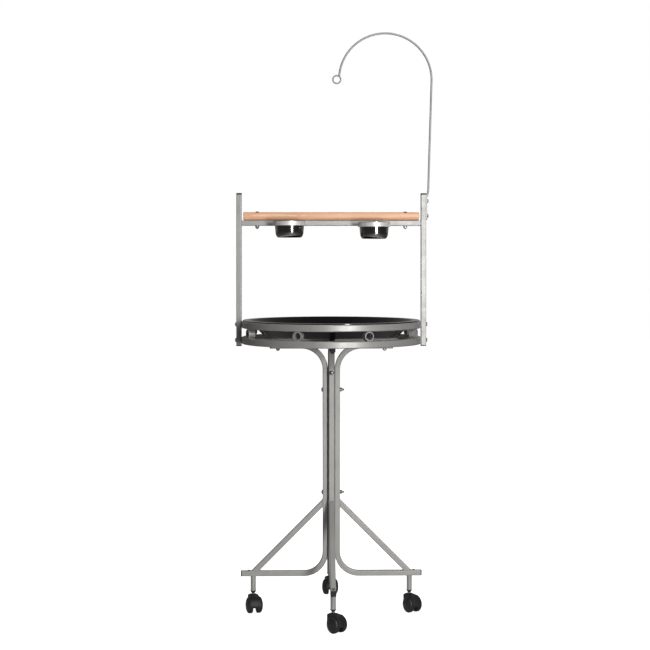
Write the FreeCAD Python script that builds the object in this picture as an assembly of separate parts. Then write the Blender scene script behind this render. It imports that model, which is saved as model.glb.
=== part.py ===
import FreeCAD, Part
import math
import os
from FreeCAD import Placement, Rotation, Vector

# Play stand for a pet bird, on four swivel casters. All lengths are in millimetres.
# +X is to the right seen from the front, +Y points away from the front, +Z is up.
# The origin is on the floor, on the axis of the column.

# ---- tube stock ----
FRAME_TUBE = 16.0            # outside width of the square tube of legs, bars and uprights
FRAME_WALL = 1.2
FRAME_CORNER = 2.2           # outside corner radius of the square tube
RING_TUBE = 20.0             # outside width of the square tube of the rings
POST_TUBE = 20.0             # outside width of the post between the legs
HEAVY_WALL = 1.5             # wall of the ring and post tube
HEAVY_CORNER = 2.5
PLUG_FIT = 0.1               # gap between a plug and the inside of its tube

# ---- casters ----
WHEEL_RADIUS = 24.0
WHEEL_INNER_X = 6.2          # inner face of each wheel, from the middle of its caster
WHEEL_OUTER_X = 25.2         # crown of the domed outer face
WHEEL_TREAD_WIDTH = 7.0
WHEEL_EDGE = 2.8             # radius of the tread's inner edge
CASTER_TRAIL = 17.0          # axle behind the stem
AXLE_RADIUS = 2.5
AXLE_REACH = 18.5            # half length of the axle
RUNNING_FIT = 0.05           # radial clearance of each turning fit
WHEEL_GAP = 0.5              # hood to tread
HOOD_WALL = 2.4              # fender over the treads
HOOD_EAVES = 0.8             # hood over the treads at its sides
HOOD_HALF_WIDTH = 15.2
HOOD_WEB = 5.6               # half thickness of the web between the wheels
HOOD_RISE = 29.5             # top of the hood above the axle
HOOD_NOSE = 9.4              # front of the hood ahead of the stem
HOOD_SKIRT_ANGLE = 9.0       # how far the fender reaches below the axle's level
STEM_RADIUS = 4.0
STEM_SHOWS = 3.0             # bare stem between hood and collar
STEM_IN_HOOD = 23.0
STEM_IN_TUBE = 32.0
COLLAR_HEIGHT = 7.0
COLLAR_LIP = 0.6             # how far the collar stands out of the stem tube
CASTER_REACH = 234.0         # stems from the column's axis
SWIVEL = {"left": 12.0, "right": 28.0, "front": 37.0, "rear": 5.0}   # degrees at rest

# ---- legs and column ----
STEM_TUBE_RADIUS = 8.0
STEM_TUBE_WALL = 1.5
STEM_TUBE_LENGTH = 43.0
FOOT_REACH = 268.0           # end of the floor bar's tube
LEG_RISE = 681.0             # floor bar's centre to arm's centre
LOWER_BEND = 64.0
UPPER_BEND = 72.0
ARM_REACH = 181.5
BRACE_HEIGHT = 210.0         # where the brace meets the leg, above the floor bar's centre
PLUG_HEAD = 3.0
PLUG_DEPTH = 12.0
FOOT_PLUG_DEPTH = 27.0
FOOT_SCREW_INSET = 21.0      # from the end of the floor bar's tube
POST_LIFT = 2.0              # foot of the post above the floor bars' underside

# ---- rings and tray ----
RING_RADIUS = 268.5          # outside of both rings
RING_SPACING = 27.0          # between the rings, filled by slices of pipe
SPACER_WALL = 2.5
SPACER_COUNT = 8
TRAY_DEPTH = 44.0
TRAY_WALL = 2.5
TRAY_FLANGE = 3.0
TRAY_RIM_INSET = 3.0         # tray's edge inside the outside of the ring
TRAY_RING_GAP = 2.5          # tray's cone inside the ring
TRAY_CORNER = 7.0

# ---- perch frame ----
UPRIGHT_DROP = 5.2           # foot of the uprights below the lower ring
UPRIGHT_LENGTH = 450.2
CAP_HEAD = 5.0
RAIL_DROP = 93.0             # underside of the rail below the top of the upright tubes
PERCH_RADIUS = 12.5
PERCH_END_GAP = 5.0          # perch to upright, each end
PERCH_END_ROUND = 3.0
PERCH_BOLT_INSET = 41.5      # bolts through the perch, from its ends

# ---- cups ----
CUP_X = 125.0
HOLDER_SLEEVE = 8.5          # holder band to rail, filled by a sleeve on the stud
CUP_HEIGHT = 50.0
CUP_RADIUS = 44.5            # outside of the wall at the rim
CUP_FOOT_RADIUS = 33.5
CUP_WALL = 0.9
CUP_LIP = 3.2                # how far the rolled rim stands out of the wall
CUP_LIP_HEIGHT = 2.0
CUP_CORNER = 15.0
HOLDER_GAP = 1.0             # cup wall to holder band
HOLDER_WALL = 2.0
HOLDER_BAND = 12.5           # height of the band
HOLDER_TOP = {"left": -4.25, "right": -7.75}   # band's top edge from the rail's top
STUD_RISE = 5.0              # studs above the rail's underside
STUD_TAIL = 18.0             # stud behind the rail
SLEEVE_RADIUS = 4.8          # sleeve on each stud, between band and rail
RIM_CLEARANCE = 0.4          # sleeve to the cup's rim

# ---- toy hook ----
HOOK_ROD = 3.0               # radius
HOOK_ARC = 139.0             # radius of the rod's centreline
HOOK_LEAN = 1.74             # degrees outwards
HOOK_RISE = 330.0            # straight part of the rod
HOOK_JOG = 5.0               # rod stands this far out of the flattened end
HOOK_FLAT = 3.5              # thickness of the flattened end
HOOK_FLAT_WIDTH = 11.0
HOOK_FLAT_LENGTH = 77.0
HOOK_FLAT_TOP = 2.0          # above the upright tube's top
HOOK_SCREW_DROPS = (18.0, 63.0)              # below the upright tube's top
HOOK_END_ANGLE = 4.2         # where the arc stops, above its centre's level
TOY_RING_RADIUS = 11.7       # to the middle of the wire
TOY_RING_WIRE = 2.25

# ---- fasteners ----
BOLT_RADIUS = 3.0
BOLT_CLEARANCE = 0.2         # radial, in each drilled hole
THREAD_FIT = 0.15            # radial, in each nut
DOME_RADIUS = 6.7
DOME_HEIGHT = 4.0
DOME_RIM = 1.0               # straight edge under the dome
DOME_CROWN = 0.8             # radius of the flat on top of the dome
BOLT_CHAMFER = 0.8
NUT_FLATS = 10.0
NUT_HEIGHT = 5.0
WASHER_RADIUS = 6.4
WASHER_THICKNESS = 1.4
THREAD_TAIL = 6.0            # bolt beyond its nut
PERCH_TAIL = 3.0             # the same below the perch
WELD_NUT_TAIL = 2.0          # bolt beyond a nut inside a tube
COLUMN_BOLT_DROPS = {"side": (131.0, 438.0), "front": (79.0, 503.0)}   # below the arm's centre
ARM_BOLT_REACH = 160.0
FOOT_SCREW_RADIUS = 3.4
FOOT_SCREW_SHANK = 1.5

# ---- levels worked out from the sizes above ----
HOOD_TOP = WHEEL_RADIUS + HOOD_RISE
COLLAR_BOTTOM = HOOD_TOP + STEM_SHOWS
STEM_TUBE_BOTTOM = COLLAR_BOTTOM + COLLAR_HEIGHT
BAR_BOTTOM = STEM_TUBE_BOTTOM + STEM_TUBE_LENGTH
BAR_MIDDLE = BAR_BOTTOM + FRAME_TUBE / 2
BAR_TOP = BAR_BOTTOM + FRAME_TUBE
ARM_MIDDLE = BAR_MIDDLE + LEG_RISE
ARM_TOP = ARM_MIDDLE + FRAME_TUBE / 2
CROSS_TOP = ARM_TOP + FRAME_TUBE
LOWER_RING_MIDDLE = ARM_TOP + RING_TUBE / 2
UPPER_RING_MIDDLE = LOWER_RING_MIDDLE + RING_TUBE + RING_SPACING
RING_TOP = UPPER_RING_MIDDLE + RING_TUBE / 2
RING_INNER = RING_RADIUS - RING_TUBE
LEG_OFFSET = POST_TUBE / 2 + FRAME_TUBE / 2      # leg's centreline from the column's axis
LEG_FACE = LEG_OFFSET + FRAME_TUBE / 2
UPRIGHT_X = RING_RADIUS + FRAME_TUBE / 2
UPRIGHT_FACE = RING_RADIUS + FRAME_TUBE
UPRIGHT_BOTTOM = ARM_TOP - UPRIGHT_DROP
UPRIGHT_TOP = UPRIGHT_BOTTOM + UPRIGHT_LENGTH
RAIL_BOTTOM = UPRIGHT_TOP - RAIL_DROP
RAIL_TOP = RAIL_BOTTOM + FRAME_TUBE
PERCH_MIDDLE = RAIL_TOP + PERCH_RADIUS
PERCH_HALF = RING_RADIUS - PERCH_END_GAP
PERCH_BOLT_X = PERCH_HALF - PERCH_BOLT_INSET
HOLDER_INNER = CUP_RADIUS + HOLDER_GAP
HOLDER_OUTER = HOLDER_INNER + HOLDER_WALL
CUP_Y = -(FRAME_TUBE / 2 + HOLDER_SLEEVE + HOLDER_OUTER)
BOLT_HOLE = BOLT_RADIUS + BOLT_CLEARANCE

X = Vector(1, 0, 0)
Y = Vector(0, 1, 0)
Z = Vector(0, 0, 1)
LEG_TURNS = {"right": 0, "rear": 90, "left": 180, "front": 270}


def moved(shape, x=0.0, y=0.0, z=0.0):
    copy = shape.copy()
    copy.translate(Vector(x, y, z))
    return copy


def turned(shape, angle, axis=Z, centre=Vector(0, 0, 0)):
    copy = shape.copy()
    copy.rotate(centre, axis, angle)
    return copy


def pointed(shape, direction):
    """Turns a shape that was built along +Z to lie along a direction."""
    copy = shape.copy()
    copy.Placement = Placement(Vector(0, 0, 0), Rotation(Z, direction)).multiply(copy.Placement)
    return copy


def rod(radius, start, end):
    """Round bar from one point to another."""
    run = end.sub(start)
    return Part.makeCylinder(radius, run.Length, start, run)


def box(x0, x1, y0, y1, z0, z1):
    return Part.makeBox(x1 - x0, y1 - y0, z1 - z0, Vector(x0, y0, z0))


def arc(start, through, end):
    return Part.Arc(start, through, end).toShape()


def line(start, end):
    return Part.LineSegment(start, end).toShape()


def square_wire(width, corner):
    """Square outline with rounded corners, centred in the XY plane."""
    half = width / 2
    flat = half - corner
    bulge = flat + corner * math.sqrt(0.5)
    edges = []
    for quarter in range(4):
        side = line(Vector(half, -flat, 0), Vector(half, flat, 0))
        round_corner = arc(Vector(half, flat, 0), Vector(bulge, bulge, 0), Vector(flat, half, 0))
        edges += [turned(side, 90 * quarter), turned(round_corner, 90 * quarter)]
    return Part.Wire(edges)


def tube_section(width, wall, corner):
    outside = Part.Face(square_wire(width, corner))
    inside = Part.Face(square_wire(width - 2 * wall, max(corner - wall, 0.3)))
    return outside.cut(inside).Faces[0]


FRAME_SECTION = tube_section(FRAME_TUBE, FRAME_WALL, FRAME_CORNER)


def frame_tube(start, end):
    """Straight square tube between two points, its sides square to the row axes."""
    run = end.sub(start)
    length = run.Length
    section = pointed(FRAME_SECTION, run)
    section.translate(start)
    return section.extrude(run.normalize().multiply(length))


def joined(pieces):
    return pieces[0].multiFuse(pieces[1:]).removeSplitter().Solids[0]


def revolved(edges, angle=360.0, axis=Z):
    return Part.Face(Part.Wire(edges)).revolve(Vector(0, 0, 0), axis, angle)


def outline(points):
    """Closed polygon, as edges."""
    return Part.makePolygon(points + [points[0]]).Edges


# ---- fasteners, each built along +Z with its seat at z = 0 ----
def bolt(length):
    """Dome-headed bolt: the head above the seat, the shank below it."""
    rim = Vector(DOME_RADIUS, 0, DOME_RIM)
    swell = Vector(DOME_RADIUS * 0.72, 0, DOME_RIM + (DOME_HEIGHT - DOME_RIM) * 0.66)
    crown = Vector(DOME_CROWN, 0, DOME_HEIGHT)
    tip = BOLT_RADIUS - BOLT_CHAMFER
    edges = [
        line(Vector(0, 0, -length), Vector(tip, 0, -length)),
        line(Vector(tip, 0, -length), Vector(BOLT_RADIUS, 0, BOLT_CHAMFER - length)),
        line(Vector(BOLT_RADIUS, 0, BOLT_CHAMFER - length), Vector(BOLT_RADIUS, 0, 0)),
        line(Vector(BOLT_RADIUS, 0, 0), Vector(DOME_RADIUS, 0, 0)),
        line(Vector(DOME_RADIUS, 0, 0), rim),
        arc(rim, swell, crown),
        line(crown, Vector(0, 0, DOME_HEIGHT)),
        line(Vector(0, 0, DOME_HEIGHT), Vector(0, 0, -length)),
    ]
    return revolved(edges)


def nut():
    corners = NUT_FLATS / math.sqrt(3)
    points = [Vector(corners, 0, 0)]
    for side in range(1, 6):
        points.append(turned(Part.Vertex(points[0]), 60 * side).Point)
    prism = Part.Face(Part.Wire(outline(points))).extrude(Vector(0, 0, NUT_HEIGHT))
    # the corners are turned down at both faces
    blank = Part.makeCone(NUT_FLATS / 2, NUT_FLATS / 2 + NUT_HEIGHT, NUT_HEIGHT)
    blank = blank.common(turned(blank, 180, X, Vector(0, 0, NUT_HEIGHT / 2)))
    hole = Part.makeCylinder(BOLT_RADIUS + THREAD_FIT, NUT_HEIGHT)
    return prism.common(blank).cut(hole).Solids[0]


def washer():
    disc = Part.makeCylinder(WASHER_RADIUS, WASHER_THICKNESS)
    return disc.cut(Part.makeCylinder(BOLT_HOLE, WASHER_THICKNESS)).Solids[0]


def placed(shape, seat, direction):
    """Puts a fastener on its seat, with its own +Z along a direction."""
    copy = pointed(shape, direction)
    copy.translate(seat)
    return copy


def square_plug(width, wall, corner, head, depth):
    """End plug along +Z: a head on the tube's end at z = 0 and an insert below it."""
    cap = Part.Face(square_wire(width, corner)).extrude(Vector(0, 0, head))
    top_edges = [e for e in cap.Edges if abs(e.BoundBox.ZMin - head) < 1e-6]
    cap = cap.makeFillet(min(1.0, head / 3), top_edges)
    inner = width - 2 * wall - 2 * PLUG_FIT
    insert = Part.Face(square_wire(inner, max(corner - wall, 0.3))).extrude(Vector(0, 0, -depth))
    return joined([cap, insert])


# ---- column ----
def bolt_lines():
    """Start, direction and name of each bolt through the column."""
    lines = []
    for drop in COLUMN_BOLT_DROPS["side"]:
        lines.append((Vector(-LEG_FACE, 0, ARM_MIDDLE - drop), X))
    for drop in COLUMN_BOLT_DROPS["front"]:
        lines.append((Vector(0, -LEG_FACE, ARM_MIDDLE - drop), Y))
    return lines


def column_drills():
    drills = []
    for start, direction in bolt_lines():
        end = start.add(Vector(direction).multiply(2 * LEG_FACE))
        drills.append(rod(BOLT_HOLE, start, end))
    return drills


def centre_post():
    section = tube_section(POST_TUBE, HEAVY_WALL, HEAVY_CORNER)
    bottom = BAR_BOTTOM + POST_LIFT
    post = moved(section, z=bottom).extrude(Vector(0, 0, ARM_TOP - bottom))
    return post.cut(column_drills()).Solids[0]


def leg(side):
    """One tube bent twice: floor bar, upright part against the post, and arm."""
    low = Vector(LEG_OFFSET + LOWER_BEND, 0, BAR_MIDDLE + LOWER_BEND)
    high = Vector(LEG_OFFSET + UPPER_BEND, 0, ARM_MIDDLE - UPPER_BEND)
    bar = frame_tube(Vector(FOOT_REACH, 0, BAR_MIDDLE), Vector(low.x, 0, BAR_MIDDLE))
    stem = frame_tube(Vector(LEG_OFFSET, 0, low.z), Vector(LEG_OFFSET, 0, high.z))
    arm = frame_tube(Vector(high.x, 0, ARM_MIDDLE), Vector(ARM_REACH, 0, ARM_MIDDLE))
    upright_section = moved(FRAME_SECTION, x=LEG_OFFSET)
    lower = moved(upright_section, z=low.z).revolve(low, Y, -90)
    upper = moved(upright_section, z=high.z).revolve(high, Y, 90)
    tube = joined([bar, lower, stem, upper, arm])
    arm_drill = rod(
        BOLT_HOLE,
        Vector(ARM_BOLT_REACH, 0, ARM_MIDDLE - FRAME_TUBE),
        Vector(ARM_BOLT_REACH, 0, ARM_MIDDLE + FRAME_TUBE),
    )
    screw_x = FOOT_REACH - FOOT_SCREW_INSET
    screw_drill = rod(
        FOOT_SCREW_SHANK, Vector(screw_x, 0, BAR_MIDDLE), Vector(screw_x, 0, BAR_TOP)
    )
    tube = turned(tube.cut([arm_drill, screw_drill]), LEG_TURNS[side])
    return tube.cut(column_drills()).Solids[0]


def brace(side):
    """Tube at 45 degrees, cut to sit on the leg and on the floor bar."""
    reach = BRACE_HEIGHT + 2 * FRAME_TUBE
    start = Vector(LEG_FACE - FRAME_TUBE, 0, BAR_MIDDLE + BRACE_HEIGHT + FRAME_TUBE)
    section = turned(FRAME_SECTION, 135, Y)
    section.translate(start)
    tube = section.extrude(Vector(reach, 0, -reach))
    room = box(LEG_FACE, LEG_FACE + 2 * reach, -FRAME_TUBE, FRAME_TUBE, BAR_TOP, BAR_TOP + 2 * reach)
    return turned(tube.common(room).Solids[0], LEG_TURNS[side])


def stem_tubes():
    """Short round tubes welded under the floor bars; the casters push into them."""
    outside = Part.makeCylinder(STEM_TUBE_RADIUS, STEM_TUBE_LENGTH)
    inside = Part.makeCylinder(STEM_TUBE_RADIUS - STEM_TUBE_WALL, STEM_TUBE_LENGTH)
    tube = moved(outside.cut(inside), x=CASTER_REACH, z=STEM_TUBE_BOTTOM)
    return [turned(tube, turn) for turn in LEG_TURNS.values()]


def leg_plugs():
    foot = square_plug(FRAME_TUBE, FRAME_WALL, FRAME_CORNER, PLUG_HEAD, FOOT_PLUG_DEPTH)
    foot = placed(foot, Vector(FOOT_REACH, 0, BAR_MIDDLE), X)
    screw_x = FOOT_REACH - FOOT_SCREW_INSET
    foot = foot.cut(
        rod(FOOT_SCREW_SHANK, Vector(screw_x, 0, BAR_MIDDLE), Vector(screw_x, 0, BAR_TOP))
    )
    arm = square_plug(FRAME_TUBE, FRAME_WALL, FRAME_CORNER, PLUG_HEAD, PLUG_DEPTH)
    arm = placed(arm, Vector(ARM_REACH, 0, ARM_MIDDLE), X)
    return [turned(plug, turn) for turn in LEG_TURNS.values() for plug in (foot.Solids[0], arm)]


def foot_screws():
    """Small pan-head screws that hold the plugs in the floor bars."""
    x = FOOT_REACH - FOOT_SCREW_INSET
    head = Part.makeCylinder(FOOT_SCREW_RADIUS, 2.4, Vector(x, 0, BAR_TOP))
    top = [e for e in head.Edges if e.BoundBox.ZMin > BAR_TOP + 2.3]
    head = head.makeFillet(1.1, top)
    shank = rod(FOOT_SCREW_SHANK, Vector(x, 0, BAR_MIDDLE + 1), Vector(x, 0, BAR_TOP))
    screw = joined([head, shank])
    return [turned(screw, turn) for turn in LEG_TURNS.values()]


def column_bolts():
    length = 2 * LEG_FACE + WASHER_THICKNESS + NUT_HEIGHT + THREAD_TAIL
    return [placed(bolt(length), start, direction * -1) for start, direction in bolt_lines()]


def column_washers():
    seats = [(start.add(direction * (2 * LEG_FACE)), direction) for start, direction in bolt_lines()]
    return [placed(washer(), seat, direction) for seat, direction in seats]


def column_nuts():
    reach = 2 * LEG_FACE + WASHER_THICKNESS
    seats = [(start.add(direction * reach), direction) for start, direction in bolt_lines()]
    return [placed(nut(), seat, direction) for seat, direction in seats]


# ---- rings ----
def ring(middle):
    """Square tube bent to a full circle, drilled on both sides for the uprights' bolts."""
    section = tube_section(RING_TUBE, HEAVY_WALL, HEAVY_CORNER)
    section = turned(section, 90, X)
    section.translate(Vector(RING_RADIUS - RING_TUBE / 2, 0, middle))
    hoop = section.revolve(Vector(0, 0, 0), Z, 360)
    drills = []
    for side in (-1, 1):
        start = Vector(side * (RING_RADIUS + 1), 0, middle)
        end = Vector(side * (RING_RADIUS - RING_TUBE / 2), 0, middle)
        drills.append(rod(BOLT_HOLE, start, end))
    return hoop.cut(drills).Solids[0]


def ring_spacers():
    """Slices of pipe that stand on edge between the rings."""
    radius = RING_SPACING / 2
    outside = Part.makeCylinder(radius, RING_TUBE, Vector(RING_INNER, 0, 0), X)
    inside = Part.makeCylinder(radius - SPACER_WALL, RING_TUBE, Vector(RING_INNER, 0, 0), X)
    # trimmed to the rings' own inside and outside
    hoop = Part.makeCylinder(RING_RADIUS, RING_SPACING, Vector(0, 0, -radius))
    hoop = hoop.cut(Part.makeCylinder(RING_INNER, RING_SPACING, Vector(0, 0, -radius)))
    slice_ = outside.cut(inside).common(hoop).Solids[0]
    level = LOWER_RING_MIDDLE + RING_TUBE / 2 + radius
    step = 360.0 / SPACER_COUNT
    return [turned(moved(slice_, z=level), step * (k + 0.5)) for k in range(SPACER_COUNT)]


def arm_drills():
    drills = []
    for turn in LEG_TURNS.values():
        start = turned(Part.Vertex(ARM_BOLT_REACH, 0, ARM_TOP - 1), turn).Point
        drills.append(rod(BOLT_HOLE, start, start.add(Vector(0, 0, FRAME_TUBE + 2))))
    return drills


def cross_bar(start_x, turn):
    """Bar in the lower ring, from a distance off the axis to the ring's inside."""
    level = ARM_TOP + FRAME_TUBE / 2
    end_x = RING_INNER + FRAME_TUBE
    tube = frame_tube(Vector(start_x, 0, level), Vector(end_x, 0, level))
    inside = Part.makeCylinder(RING_INNER, 4 * FRAME_TUBE, Vector(0, 0, level - 2 * FRAME_TUBE))
    bar = turned(tube.common(inside), turn)
    return bar.cut(arm_drills()).Solids[0]


def long_cross_bar():
    """The bar from left to right, in one piece."""
    level = ARM_TOP + FRAME_TUBE / 2
    reach = RING_INNER + FRAME_TUBE
    tube = frame_tube(Vector(-reach, 0, level), Vector(reach, 0, level))
    inside = Part.makeCylinder(RING_INNER, 4 * FRAME_TUBE, Vector(0, 0, level - 2 * FRAME_TUBE))
    return tube.common(inside).cut(arm_drills()).Solids[0]


def at_arm_bolts(shape, level, direction):
    pieces = []
    for turn in LEG_TURNS.values():
        pieces.append(turned(placed(shape, Vector(ARM_BOLT_REACH, 0, level), direction), turn))
    return pieces


def arm_bolts():
    length = 2 * FRAME_TUBE + NUT_HEIGHT + 2.0
    return at_arm_bolts(bolt(length), CROSS_TOP, Z)


def arm_nuts():
    return at_arm_bolts(nut(), ARM_TOP - FRAME_TUBE, Z * -1)


# ---- tray ----
def tray():
    """Shallow dish with a flat flange that rests on the upper ring."""
    flange_top = RING_TOP + TRAY_FLANGE
    floor_bottom = RING_TOP - TRAY_DEPTH
    mouth = RING_INNER - TRAY_RING_GAP
    foot = mouth - TRAY_DEPTH
    rim = RING_RADIUS - TRAY_RIM_INSET
    slant = TRAY_WALL * math.sqrt(2)
    outside = [
        Vector(0, 0, floor_bottom),
        Vector(foot, 0, floor_bottom),
        Vector(mouth, 0, RING_TOP),
        Vector(rim, 0, RING_TOP),
        Vector(rim, 0, flange_top),
    ]
    top_of_cone = mouth + TRAY_FLANGE - slant
    foot_inside = top_of_cone - (flange_top - floor_bottom - TRAY_WALL)
    inside = [
        Vector(top_of_cone, 0, flange_top),
        Vector(foot_inside, 0, floor_bottom + TRAY_WALL),
        Vector(0, 0, floor_bottom + TRAY_WALL),
    ]
    dish = revolved(outline(outside + inside))

    def circle_at(radius, level):
        found = []
        for edge in dish.Edges:
            middle = edge.BoundBox
            same_level = abs(middle.ZMin - level) < 1e-4 and abs(middle.ZMax - level) < 1e-4
            if same_level and abs(middle.XMax - radius) < 1e-4:
                found.append(edge)
        return found

    corners = circle_at(foot, floor_bottom) + circle_at(foot_inside, floor_bottom + TRAY_WALL)
    dish = dish.makeFillet(TRAY_CORNER, corners)
    edges = circle_at(rim, flange_top) + circle_at(top_of_cone, flange_top)
    return dish.makeFillet(TRAY_FLANGE / 3, edges).Solids[0]


# ---- perch frame ----
def upright_seats():
    """Level and outside seat of each bolt that holds an upright to the rings."""
    levels = (LOWER_RING_MIDDLE, UPPER_RING_MIDDLE)
    return [(Vector(side * UPRIGHT_FACE, 0, level), X * side) for side in (-1, 1) for level in levels]


def hook_seats():
    return [Vector(UPRIGHT_FACE, 0, UPRIGHT_TOP - drop) for drop in HOOK_SCREW_DROPS]


def upright(side):
    sign = {"left": -1, "right": 1}[side]
    x = sign * UPRIGHT_X
    tube = frame_tube(Vector(x, 0, UPRIGHT_BOTTOM), Vector(x, 0, UPRIGHT_TOP))
    drills = []
    for seat, outwards in upright_seats():
        drills.append(rod(BOLT_HOLE, seat.add(outwards), seat.add(outwards * (-2 * FRAME_TUBE))))
    if side == "right":
        for seat in hook_seats():
            drills.append(rod(BOLT_HOLE, seat.add(X), seat.sub(X * (FRAME_TUBE / 2))))
    return tube.cut(drills).Solids[0]


def upright_plugs():
    cap = square_plug(FRAME_TUBE, FRAME_WALL, FRAME_CORNER, CAP_HEAD, PLUG_DEPTH)
    foot = square_plug(FRAME_TUBE, FRAME_WALL, FRAME_CORNER, PLUG_HEAD, UPRIGHT_DROP)
    plugs = []
    for x in (-UPRIGHT_X, UPRIGHT_X):
        plugs.append(placed(cap, Vector(x, 0, UPRIGHT_TOP), Z))
        plugs.append(placed(foot, Vector(x, 0, UPRIGHT_BOTTOM), Z * -1))
    return plugs


def upright_bolts():
    length = FRAME_TUBE + HEAVY_WALL + NUT_HEIGHT + WELD_NUT_TAIL
    return [placed(bolt(length), seat, outwards) for seat, outwards in upright_seats()]


def weld_nuts():
    """Nuts inside the tubes: behind each ring's outer wall, and behind the hook's screws."""
    # the ring's wall is curved, so its nuts lie a little deeper
    lift = NUT_FLATS**2 / (4 * RING_INNER)
    reach = FRAME_TUBE + HEAVY_WALL + lift
    nuts = []
    for seat, outwards in upright_seats():
        nuts.append(placed(nut(), seat.sub(outwards * reach), outwards * -1))
    for seat in hook_seats():
        nuts.append(placed(nut(), seat.sub(X * FRAME_WALL), X * -1))
    return nuts


def perch_bolt_line(x):
    return rod(BOLT_HOLE, Vector(x, 0, RAIL_BOTTOM - 1), Vector(x, 0, PERCH_MIDDLE + PERCH_RADIUS))


def stud_level():
    return RAIL_BOTTOM + STUD_RISE


def perch_rail():
    """Tube between the uprights, under the perch; the cup holders' studs pass through it."""
    level = RAIL_BOTTOM + FRAME_TUBE / 2
    tube = frame_tube(Vector(-RING_RADIUS, 0, level), Vector(RING_RADIUS, 0, level))
    drills = [perch_bolt_line(x) for x in (-PERCH_BOLT_X, PERCH_BOLT_X)]
    for x in (-CUP_X, CUP_X):
        front = Vector(x, -FRAME_TUBE, stud_level())
        drills.append(rod(BOLT_HOLE, front, front.add(Y * (2 * FRAME_TUBE))))
    return tube.cut(drills).Solids[0]


def perch_seat():
    """Level of the flat spots under the perch bolts' heads."""
    spot = DOME_RADIUS + BOLT_CLEARANCE
    return PERCH_MIDDLE + math.sqrt(PERCH_RADIUS**2 - spot**2)


def perch():
    dowel = rod(PERCH_RADIUS, Vector(-PERCH_HALF, 0, PERCH_MIDDLE), Vector(PERCH_HALF, 0, PERCH_MIDDLE))
    ends = [e for e in dowel.Edges if abs(abs(e.CenterOfMass.x) - PERCH_HALF) < 1e-3]
    dowel = dowel.makeFillet(PERCH_END_ROUND, ends)
    cuts = []
    for x in (-PERCH_BOLT_X, PERCH_BOLT_X):
        cuts.append(perch_bolt_line(x))
        spot = Vector(x, 0, perch_seat())
        cuts.append(rod(DOME_RADIUS + BOLT_CLEARANCE, spot, spot.add(Z * PERCH_RADIUS)))
    return dowel.cut(cuts).Solids[0]


def perch_bolts():
    tail = RAIL_BOTTOM - WASHER_THICKNESS - NUT_HEIGHT - PERCH_TAIL
    length = perch_seat() - tail
    xs = (-PERCH_BOLT_X, PERCH_BOLT_X)
    return [placed(bolt(length), Vector(x, 0, perch_seat()), Z) for x in xs]


def perch_washers():
    xs = (-PERCH_BOLT_X, PERCH_BOLT_X)
    return [placed(washer(), Vector(x, 0, RAIL_BOTTOM), Z * -1) for x in xs]


def perch_nuts():
    level = RAIL_BOTTOM - WASHER_THICKNESS
    xs = (-PERCH_BOLT_X, PERCH_BOLT_X)
    return [placed(nut(), Vector(x, 0, level), Z * -1) for x in xs]


# ---- cups and their holders ----
CUP_SIGN = {"left": -1, "right": 1}


def cup(side):
    """Straight-sided bowl with a rounded foot and a rim that hangs on the holder's band."""
    top = CUP_HEIGHT
    lip = CUP_RADIUS + CUP_LIP
    slope = (CUP_RADIUS - CUP_FOOT_RADIUS - CUP_CORNER * 0.55)
    waist = CUP_RADIUS - max(slope, 0.5)
    seat = top - CUP_LIP_HEIGHT
    foot_arc_top = CUP_CORNER * 1.15
    inset = CUP_WALL

    def wall(offset, low, high):
        """Edges from the axis along the foot and up the side, offset inwards."""
        foot = CUP_FOOT_RADIUS - offset * 0.4
        knee = Vector(waist - offset, 0, foot_arc_top)
        bend = Vector(foot + (knee.x - foot) * 0.74, 0, low + (foot_arc_top - low) * 0.33)
        return [
            line(Vector(0, 0, low), Vector(foot, 0, low)),
            arc(Vector(foot, 0, low), bend, knee),
            line(knee, Vector(CUP_RADIUS - offset, 0, high)),
        ]

    outside = wall(0.0, 0.0, seat)
    inside = wall(inset, inset, top)
    rim = outline([
        Vector(CUP_RADIUS, 0, seat),
        Vector(lip, 0, seat),
        Vector(lip, 0, top),
        Vector(CUP_RADIUS - inset, 0, top),
    ])[:3]
    axis_line = line(Vector(0, 0, inset), Vector(0, 0, 0))
    edges = outside + rim + inside[::-1] + [axis_line]
    bowl = Part.Face(Part.Wire(Part.__sortEdges__(edges))).revolve(Vector(0, 0, 0), Z, 360)
    level = RAIL_TOP + HOLDER_TOP[side] - seat
    return moved(bowl, CUP_SIGN[side] * CUP_X, CUP_Y, level)


def cup_holder(side):
    """Flat band bent to a ring, with a stud welded to its back."""
    x = CUP_SIGN[side] * CUP_X
    band_top = RAIL_TOP + HOLDER_TOP[side]
    base = Vector(x, CUP_Y, band_top - HOLDER_BAND)
    outside = Part.makeCylinder(HOLDER_OUTER, HOLDER_BAND, base)
    inside = Part.makeCylinder(HOLDER_INNER, HOLDER_BAND, base)
    start = Vector(x, CUP_Y + HOLDER_INNER, stud_level())
    end = Vector(x, FRAME_TUBE / 2 + STUD_TAIL, stud_level())
    stud = rod(BOLT_RADIUS, start, end)
    return outside.fuse(stud).cut(inside).removeSplitter().Solids[0]


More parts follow.
